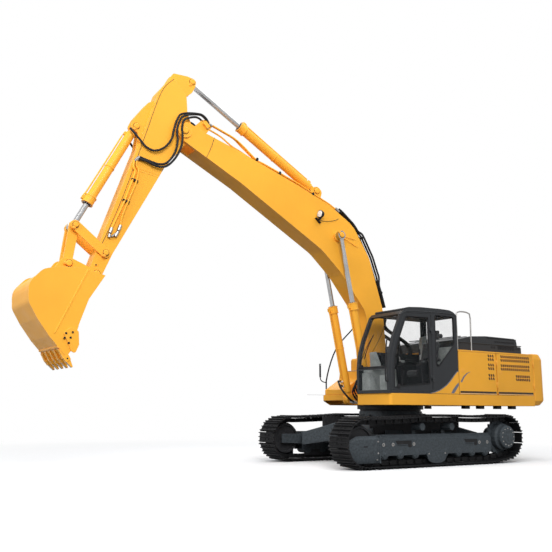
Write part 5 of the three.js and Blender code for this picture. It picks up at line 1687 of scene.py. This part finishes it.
def boom_fittings():
    """Lamp, dark lines of painted shade on the side plates, pin caps, head bracket and grease lines of the
    boom.
    """
    lamp = Solids(BOOM)
    centre = Vector((3.34, 0.33, 1.285))
    aim = Vector((0.72, 0.1, -0.68)).normalized()
    lamp.turned(centre - aim * 0.06, centre + aim, [(0, 0.03), (0.02, 0.062), (0.07, 0.082), (0.1, 0.086)],
                24)
    lamp.emit("boom_lamp_housing", "boom", "plastic", 0.003)
    lens = Solids(BOOM)
    lens.turned(centre + aim * 0.041, centre + aim * 3, [(0, 0.074), (0.006, 0.07), (0.012, 0.04)], 24)
    lens.emit("boom_lamp_lens", "boom", "lens")
    foot = Solids(BOOM)
    foot.box(3.2, 3.36, 0.234, 0.3, 1.15, 1.165)
    foot.box(3.27, 3.3, 0.28, 0.33, 1.155, 1.26)
    foot.emit("boom_lamp_bracket", "boom", "plastic", 0.003)
    tube("lamp_wire", [[(3.3, 0.3, 1.2), (3.2, 0.245, 1.25), (3.05, 0.243, 1.42), (2.95, 0.243, 1.6),
                        (2.9, 0.2, 1.76)]],
         0.005, "boom", "stripe", BOOM, step=0.02, sides=8)
    wires = [[(2.72, 0.262, 1.38), (2.6, 0.25, 1.45), (2.35, 0.242, 1.62), (2.2, 0.2, 1.76)],
             [(2.66, 0.262, 1.36), (2.5, 0.25, 1.44), (2.2, 0.242, 1.55), (1.95, 0.2, 1.68)]]
    tube("grease_lines", wires, 0.006, "boom", "paint", BOOM, step=0.03, sides=8)
    # Painted shade: thin dark tubes in the stripe colour drawn along plate edges and joints of the side
    # plates.
    shade_lines = []
    for side in SIDES.values():
        y = side * (BOOM_SIDE + 0.001)
        shade_lines.append([(6.075, y, 0.44), (5.98, y, 0.24), (5.895, y, 0.0)])
        shade_lines.append([(0.46, y, 0.82), (0.36, y, 0.5), (0.3, y, 0.05)])
    tube("boom_welds", shade_lines, 0.0055, "boom", "stripe", BOOM, step=0.03, sides=6)
    bracket = Solids(BOOM)
    for side in SIDES.values():
        bracket.prism(rounded([(6.24, 0.36), (6.5, 0.24), (6.5, 0.5), (6.4, 0.62), (6.26, 0.58)], 0.03),
                      *band(side, 0.2, 0.214))
        bracket.box(6.3, 6.44, *band(side, 0.176, 0.262), 0.44, 0.53)
    bracket.emit("boom_head_bracket", "boom", "paint", 0.004)
    ends = Solids(BOOM)
    for side in SIDES.values():
        for y in HEAD_ROWS:
            low = 0.09 if y == HEAD_ROWS[0] else 0.0
            ends.rod((6.28, side * y, 0.58 - low), (6.36, side * y, 0.545 - low), 0.022, 6)
    ends.emit("boom_head_unions", "boom", "steel", 0.002)
    foot_pin = MACHINE.inverted() @ pivot("boom")
    for word, side in SIDES.items():
        pin_cap(f"boom_tip_cap_{word}", (BOOM_LENGTH, side * 0.265, 0), side, 0.075, "boom", BOOM)
        pin_cap(f"boom_lift_cap_{word}", (2.69, side * 0.41, 1.32), side, 0.062, "boom", BOOM)
        pin_cap(f"boom_crowd_cap_{word}", (3.693, side * 0.105, 1.757), side, 0.062, "boom", BOOM)
        pin_cap(f"boom_foot_cap_{word}", (foot_pin.x, side * 0.316, foot_pin.z), side, 0.08, "house", MACHINE)


def pin_cap(name, centre, side, radius, body, place):
    """A pin's end cap: a stepped disc, its keeper plate and the plate's bolt, over a dark ring of painted
    shadow.
    """
    x, y, z = centre
    shape = Solids(place)
    # Painted shadow: a dark ring just wider than the cap outlines it, standing for the shaded gap; its piece
    # is named as a seal.
    shadow_ring = Solids(place)
    shadow_ring.turned((x, y - side * 0.004, z), (x, y + side, z), [(0, radius + 0.009), (0.006, radius + 0.009)],
                  28)
    shadow_ring.emit(name + "_seal", body, "rubber")
    shape.turned((x, y, z), (x, y + side, z), [(0, radius), (0.014, radius), (0.02, radius * 0.8),
                                               (0.026, radius * 0.76)], 28)
    keeper = rect(x + radius * 0.5, x + radius * 1.75, z - 0.028, z + 0.028, 0.012)
    shape.prism(keeper, *sorted((y - side * 0.002, y + side * 0.011)))
    shape.turned((x + radius * 1.4, y + side * 0.01, z), (x + radius * 1.4, y + side * 3, z),
                 [(0, 0.016), (0.014, 0.014)], 6)
    shape.emit(name, body, "paint", 0.003)


# ---- Arm ----

class EXCAVATOR_OT_arm_lines(bpy.types.Operator):
    """Run the looping hoses over the elbow, and the pipes and couplers of the arm"""

    bl_idname = "excavator.arm_lines"
    bl_label = "Arm lines"

    def execute(self, context):
        for word, side in SIDES.items():
            elbow_hoses(word, side)
            arm_pipes(word, side)
        arm_fittings()
        return {"FINISHED"}


def elbow_hoses(word, side):
    """Hoses that leave the boom's head, hang round the elbow and run down the arm's side."""
    back = ARM.inverted() @ BOOM
    loops = (
        ([(-0.27, 0.24, 0.21), (-0.06, 0.25, 0.235), (0.17, 0.25, 0.18), (0.34, 0.245, 0.13),
          (0.58, 0.235, 0.16),
          (0.756, 0.225, 0.28), (0.8, 0.21, 0.45), (0.745, 0.2, 0.64), (0.69, 0.17, 0.78),
          (0.64, 0.12, 0.88)], 0.245),
        ([(-0.25, 0.27, 0.16), (-0.07, 0.275, 0.185), (0.14, 0.275, 0.13), (0.29, 0.27, 0.02),
          (0.535, 0.25, -0.06),
          (0.793, 0.235, -0.04), (0.93, 0.225, 0.07), (1.0, 0.21, 0.26), (1.05, 0.2, 0.45)], 0.215),
        ([(-0.17, 0.29, 0.12), (0.0, 0.295, 0.09), (0.18, 0.295, -0.02), (0.37, 0.285, -0.1),
          (0.63, 0.265, -0.12),
          (0.88, 0.245, -0.06), (1.0, 0.235, 0.09), (1.04, 0.22, 0.3), (1.1, 0.2, 0.47)], 0.185),
    )
    paths = []
    for loop, root in loops:
        rise = 0.0 if root > 0.2 else -0.075
        lead = [tuple(back @ Vector((x, root + 0.01 * k, z + rise)))
                for k, (x, z) in enumerate(((6.36, 0.545), (6.48, 0.565), (6.62, 0.5)))]
        paths.append([(x, side * y, z) for x, y, z in (*lead, *loop)])
    hoses = tube(f"elbow_hoses_{word}", paths, sizes().hose * 1.15, None, "rubber", ARM, step=0.025, sides=10)
    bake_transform(hoses)
    rings = Solids(ARM)
    for x, y, z in ((1.08, 0.2, 0.47), (1.12, 0.2, 0.49)):
        rings.rod((x - 0.03, side * y, z - 0.01), (x + 0.06, side * y, z), 0.026, 6)
    rings.emit(f"arm_hose_ends_{word}", "arm", "steel", 0.002)


def arm_pipes(word, side):
    """Steel pipes down the arm's side, their clamps, and the couplers near its foot."""
    y = side * 0.195
    rows = [[(1.12, y, 0.48), (1.24, y, 0.41), (1.3, y, 0.33), (1.56, y, 0.25), (1.93, y, 0.195),
             (2.25, y, 0.14), (2.41, y, 0.08)],
            [(1.17, y, 0.5), (1.3, y, 0.45), (1.36, y, 0.375), (1.66, y, 0.31), (2.0, y, 0.25),
             (2.35, y, 0.21), (2.55, y, 0.19)]]
    tube(f"arm_pipes_{word}", rows, sizes().pipe * 1.2, "arm", "paint", ARM, step=0.03)
    spots = []
    for x, z in ((1.5, 0.295), (1.95, 0.225)):
        spots.append(((x, side * 0.185, z), (0, side, 0), (0.97, 0, -0.2)))
    copies(f"arm_pipe_clamps_{word}", clamp_shape(0.075, 0.045, 0.05), spots, "arm", "rubber", ARM)
    parts = Solids(ARM)
    for start, end in (((2.41, 0.08), (2.52, 0.062)), ((2.54, 0.06), (2.65, 0.055)),
                       ((2.55, 0.19), (2.65, 0.172)), ((2.67, 0.168), (2.73, 0.14))):
        parts.rod((start[0], y, start[1]), (end[0], y, end[1]), 0.033, 8)
    parts.rod((2.55, y, 0.06), (2.69, y, 0.11), 0.018, 12)
    parts.emit(f"arm_couplers_{word}", "arm", "steel", 0.004)


def arm_fittings():
    """Doubler plates, dark lines of painted shade and pin caps of the arm, its links and the bucket."""
    plates = Solids(ARM)
    for side in SIDES.values():
        for low, high in ((1.06, 1.1), (1.13, 1.15)):
            plates.prism([(low, -0.05), (high, -0.05), (high + 0.14, 0.33), (low + 0.14, 0.33)],
                         *band(side, 0.164, 0.169))
        plates.turned((3.294, side * 0.163, 0.075), (3.294, side * 9, 0.075),
                      [(0, 0.036), (0.008, 0.034), (0.009, 0.022)], 20)
    plates.emit("arm_doublers", "arm", "paint", 0.002)
    # Painted shade: dark discs in the black rubber material stand for the holes in the bosses.
    dots = Solids(ARM)
    for side in SIDES.values():
        dots.turned((3.294, side * 0.17, 0.075), (3.294, side * 9, 0.075), [(0, 0.018), (0.003, 0.017)], 16)
    dots.emit("arm_holes", "arm", "rubber")
    # Painted shade: a thin dark tube in the stripe colour along the edge where the side plate meets the top
    # plate.
    shade_lines = []
    for side in SIDES.values():
        y = side * 0.1655
        shade_lines.append([(-0.82, y, 0.7), (-0.4, y, 0.765), (0.6, y, 0.575), (2.0, y, 0.3), (3.1, y, 0.16)])
    tube("arm_welds", shade_lines, 0.0055, "arm", "stripe", ARM, step=0.05, sides=6)
    for word, side in SIDES.items():
        pin_cap(f"arm_link_cap_{word}", (3.016, side * 0.22, 0.047), side, 0.05, "arm_link", ARM)
        pin_cap(f"link_top_cap_{word}", (2.896, side * 0.22, 0.757), side, 0.05, "arm_link", ARM)
        pin_cap(f"bucket_pin_cap_{word}", (0, side * 0.255, 0), side, 0.055, "bucket", BUCKET)
        pin_cap(f"ear_pin_cap_{word}", (0.5, side * 0.255, 0.13), side, 0.055, "bucket", BUCKET)
        pin_cap(f"arm_crowd_cap_{word}", (-1.091, side * 0.105, 0.355), side, 0.058, "arm", ARM)
        pin_cap(f"arm_curl_cap_{word}", (0.504, side * 0.1, 0.797), side, 0.058, "arm", ARM)


# ---- Cylinders ----

class EXCAVATOR_OT_cylinders(bpy.types.Operator):
    """Add glands, bands, ports and pipes to the cylinders"""

    bl_idname = "excavator.cylinders"
    bl_label = "Cylinder fittings"

    def execute(self, context):
        for name, body, place, side, up in (
                ("boom_cylinder_barrel_left", "boom_cylinder_barrels", LIFT, 0.355, -1),
                ("boom_cylinder_barrel_right", "boom_cylinder_barrels", LIFT, -0.355, -1),
                ("arm_cylinder_barrel", "arm_cylinder_barrel", CROWD, 0, 1),
                ("bucket_cylinder_barrel", "bucket_cylinder_barrel", CURL, 0, 1)):
            dress_cylinder(name, body, place, side, up)
        return {"FINISHED"}


def dress_cylinder(name, body, place, y, up):
    """Gland rings with bolts, wiper seal, port blocks and the return pipe of one barrel."""
    low, high = box_in(name, place)
    radius = max(abs(low.z), abs(high.z)) - 0.018
    end = high.x if abs(high.x) > abs(low.x) else low.x
    way = math.copysign(1, end)
    reach = abs(end)
    short = name.replace("_barrel", "")
    shape = Solids(place)
    for distance, width, extra in ((0.0, 0.022, 0.024), (0.14, 0.022, 0.024), (reach * 0.45, 0.025, 0.008)):
        x = end - way * distance
        shape.turned((x, y, 0), (x - way, y, 0), [(0, radius + extra), (width, radius + extra)], 32)
    shape.box(*sorted((end - way * 0.11, end - way * 0.03)), y - 0.03, y + 0.03,
              *sorted((up * radius, up * (radius + 0.06))))
    foot = way * 0.2
    shape.box(*sorted((foot, foot + way * 0.07)), y - 0.03, y + 0.03,
              *sorted((up * (radius - 0.02), up * (radius + 0.035))))
    shape.emit(short + "_bands", body, "paint", 0.003)
    pipe = [(end - way * 0.1, y, up * (radius + 0.04)), (end - way * 0.14, y, up * (radius + 0.045)),
            (end - way * 0.2, y, up * (radius + 0.035)), (way * reach * 0.6, y, up * (radius + 0.03)),
            (way * 0.42, y, up * (radius + 0.03)), (way * 0.3, y, up * (radius + 0.03))]
    tube(short + "_pipe", [pipe], 0.015, body, "paint", place, step=0.03)
    seal = Solids(place)
    seal.turned((end - way * 0.001, y, 0), (end + way, y, 0),
                [(0, radius * 0.78), (0.01, radius * 0.74), (0.014, radius * 0.68)], 28)
    seal.emit(short + "_seal", body, "rubber")
    spots = circle_spots((end, y, 0), radius * 0.88, 10, "X", 18)
    bolts(short + "_bolts", spots, (way, 0, 0), body, place, 0.011)


# ---- Bucket ----

TOOTH_ROWS = [-0.525 + k * 1.05 / 4 for k in range(5)]
LIP = Vector((0.545, -1.51))
TOOTH_RUN = Vector((-0.56, -0.83)).normalized()


def tooth_point(along, across):
    """A point in the bucket's X and Z, measured along a tooth from the lip and across it."""
    return tuple(LIP + TOOTH_RUN * along + Vector((TOOTH_RUN.y, -TOOTH_RUN.x)) * across)


class EXCAVATOR_OT_bucket_fittings(bpy.types.Operator):
    """Add tooth tips, cutter bolts, lip and wear strips to the bucket"""

    bl_idname = "excavator.bucket_fittings"
    bl_label = "Bucket fittings"

    def execute(self, context):
        tip = Solids(BUCKET)
        caps = Solids(BUCKET)
        for y in TOOTH_ROWS:
            caps.prism(rounded([tooth_point(-0.02, 0.05), tooth_point(-0.02, -0.054),
                                tooth_point(0.075, -0.048), tooth_point(0.075, 0.046)], 0.01),
                       y - 0.052, y + 0.052)
            caps.prism([tooth_point(0, -0.02), tooth_point(-0.16, -0.02), tooth_point(-0.175, -0.045),
                        tooth_point(0, -0.062)], y - 0.04, y + 0.04)
            tip.prism([tooth_point(0.07, 0.04), tooth_point(0.07, -0.045), tooth_point(0.2, -0.0085),
                       tooth_point(0.201, 0.0105)], y - 0.036, y + 0.036)
        caps.emit("tooth_adapters", "bucket", "paint", 0.006)
        tip.emit("tooth_tips", "bucket", "edge", 0.004)
        shape = Solids(BUCKET)
        x, z = tooth_point(0.03, 0)
        for y in TOOTH_ROWS:
            for end in (y - 0.051, y + 0.051):
                shape.rod((x, end - 0.004, z), (x, end + 0.004, z), 0.013, 10)
        shape.emit("tooth_pins", "bucket", "rubber")
        for word, side in SIDES.items():
            spots = [(x, side * 0.597, z) for x, z in ((0.578, -1.12), (0.6, -1.2), (0.47, -1.1),
                                                       (0.5, -1.19), (0.525, -1.28))]
            bolts(f"cutter_bolts_{word}", spots, (0, side, 0), "bucket", BUCKET, 0.016, "rubber")
            strip = Solids(BUCKET)
            strip.prism([(0.235, 0.0), (0.27, 0.0), (0.78, -1.13), (0.745, -1.13)], *band(side, 0.57, 0.583))
            strip.emit(f"side_plate_edge_{word}", "bucket", "paint", 0.006)
        wear = Solids(BUCKET)
        wear.prism([tooth_point(-0.2, -0.02), tooth_point(-0.2, -0.045), tooth_point(-0.23, -0.045),
                    tooth_point(-0.23, -0.02)], -0.577, 0.577)
        wear.emit("wear_strips", "bucket", "paint", 0.004)
        return {"FINISHED"}


# ---- Hoses at the boom's foot ----

class EXCAVATOR_OT_foot_hoses(bpy.types.Operator):
    """Lead hoses from the valves to the boom's back and to the boom cylinders"""

    bl_idname = "excavator.foot_hoses"
    bl_label = "Foot hoses"

    def execute(self, context):
        down = MACHINE.inverted() @ BOOM
        for word, side in SIDES.items():
            paths = []
            for k, y in enumerate(PIPE_ROWS):
                top = [tuple(down @ Vector((x, side * y, z)))
                       for x, z in ((0.34, 0.83), (0.5, 0.97), (0.6, 1.04))]
                paths.append([(-0.45 - 0.03 * k, side * y, 2.04), (-0.5, side * y, 2.3),
                              (-0.42, side * y, 2.62), *top])
            hoses = tube(f"foot_hoses_{word}", paths, sizes().hose * 1.1, None, "rubber", MACHINE, step=0.03,
                         sides=10)
            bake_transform(hoses)
            port = [MACHINE.inverted() @ LIFT @ Vector((x, side * 0.355, -0.125)) for x in (0.32, 0.42)]
            leads = []
            for k, end in enumerate((port[0], port[1], port[0])):
                y = side * (0.1 + 0.055 * k)
                leads.append([(0.93, y, 1.3), (1.04, y, 1.34 + 0.03 * k),
                              (1.2, y + side * 0.05, 1.5 + 0.05 * k),
                              (1.22, side * (0.27 + 0.03 * k), 1.66 + 0.05 * k),
                              (end.x + 0.06, side * (0.33 + 0.02 * k), end.z + 0.02),
                              (end.x, side * (0.345 + 0.01 * k), end.z)])
            hoses = tube(f"lift_hoses_{word}", leads, 0.019, None, "rubber", MACHINE, step=0.02, sides=10)
            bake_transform(hoses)
            unions = Solids(LIFT)
            for x in (0.32, 0.42):
                unions.rod((x, side * 0.355, -0.155), (x, side * 0.355, -0.09), 0.026, 6)
            unions.emit(f"lift_unions_{word}", "boom_cylinder_barrels", "pale", 0.002)
            joints = Solids()
            for k in range(3):
                y = side * (0.1 + 0.055 * k)
                joints.rod((0.88, y, 1.28), (0.97, y, 1.315), 0.027, 6)
            joints.emit(f"frame_unions_{word}", "house", "pale", 0.002)
        valves = Solids()
        for x in (-1.2, -0.95, -0.7, -0.45):
            valves.box(x - 0.08, x + 0.08, -0.2, 0.2, 2.049, 2.1)
        valves.emit("valve_blocks", "house", "cast", 0.008)
        front = Solids()
        front.box(0.62, 0.79, -0.22, 0.22, 1.275, 1.42)
        front.rod((0.7, -0.16, 1.42), (0.7, -0.16, 1.5), 0.035, 16)
        front.rod((0.7, 0.05, 1.42), (0.7, 0.05, 1.47), 0.03, 16)
        front.emit("front_manifold", "house", "cast", 0.006)
        tube("front_hoses", [[(0.7, -0.16, 1.49), (0.68, -0.2, 1.62), (0.45, -0.2, 1.6), (0.3, -0.16, 1.45)],
                             [(0.7, 0.05, 1.46), (0.66, 0.1, 1.6), (0.42, 0.12, 1.55), (0.3, 0.12, 1.4)]],
             0.018, "house", "rubber", MACHINE, step=0.02, sides=10)
        return {"FINISHED"}


class EXCAVATOR_OT_mirror(bpy.types.Operator):
    """Put a silvered glass and a soft rim in the rear-view mirror"""

    bl_idname = "excavator.mirror"
    bl_label = "Mirror glass"

    def execute(self, context):
        place = upright((0.88, -1.445, 2.05), -38)
        Solids(place).prism(rect(-0.083, 0.083, -0.142, 0.142, 0.02), -0.0145, -0.011, 0).emit(
            "mirror_glass", "house", "mirror")
        Solids(place).prism(rect(-0.098, 0.098, -0.157, 0.157, 0.03), 0.0, 0.03, 0).emit(
            "mirror_shell", "house", "plastic", 0.012)
        return {"FINISHED"}


CLASSES = [ExcavatorColours, ExcavatorSizes, EXCAVATOR_OT_stage, EXCAVATOR_OT_frame_finish,
           EXCAVATOR_OT_tracks, EXCAVATOR_OT_undercarriage,
           EXCAVATOR_OT_side_doors, EXCAVATOR_OT_hood, EXCAVATOR_OT_body_fittings,
           EXCAVATOR_OT_cab_outside, EXCAVATOR_OT_cab_inside, EXCAVATOR_OT_seat, EXCAVATOR_OT_boom_lines,
           EXCAVATOR_OT_arm_lines, EXCAVATOR_OT_cylinders, EXCAVATOR_OT_bucket_fittings,
           EXCAVATOR_OT_foot_hoses, EXCAVATOR_OT_mirror]
STEPS = [name for name in CLASSES if hasattr(name, "bl_idname")]


class EXCAVATOR_PT_panel(bpy.types.Panel):
    """Lists the steps that dress the machine"""

    bl_idname = "EXCAVATOR_PT_panel"
    bl_label = "Crawler Excavator"
    bl_space_type = "VIEW_3D"
    bl_region_type = "UI"
    bl_category = "Excavator"

    def draw(self, context):
        for step in STEPS:
            self.layout.operator(step.bl_idname)
        for group in (context.scene.excavator_colours, context.scene.excavator_sizes):
            for name in group.__annotations__:
                self.layout.prop(group, name)


def register():
    """Registers the settings, the steps and the panel."""
    for made in [*CLASSES, EXCAVATOR_PT_panel]:
        bpy.utils.register_class(made)
    bpy.types.Scene.excavator_colours = bpy.props.PointerProperty(type=ExcavatorColours)
    bpy.types.Scene.excavator_sizes = bpy.props.PointerProperty(type=ExcavatorSizes)


def unregister():
    """Takes the settings, the steps and the panel away again."""
    del bpy.types.Scene.excavator_sizes
    del bpy.types.Scene.excavator_colours
    for made in reversed([*CLASSES, EXCAVATOR_PT_panel]):
        bpy.utils.unregister_class(made)


def main():
    """Builds the dressed machine."""
    register()
    build_materials()
    TREES.update({"tube": tube_tree(), "copies": copies_tree(), "chain": chain_tree()})
    for step in STEPS:
        group, name = step.bl_idname.split(".")
        getattr(getattr(bpy.ops, group), name)()


if __name__ == "__main__":
    main()
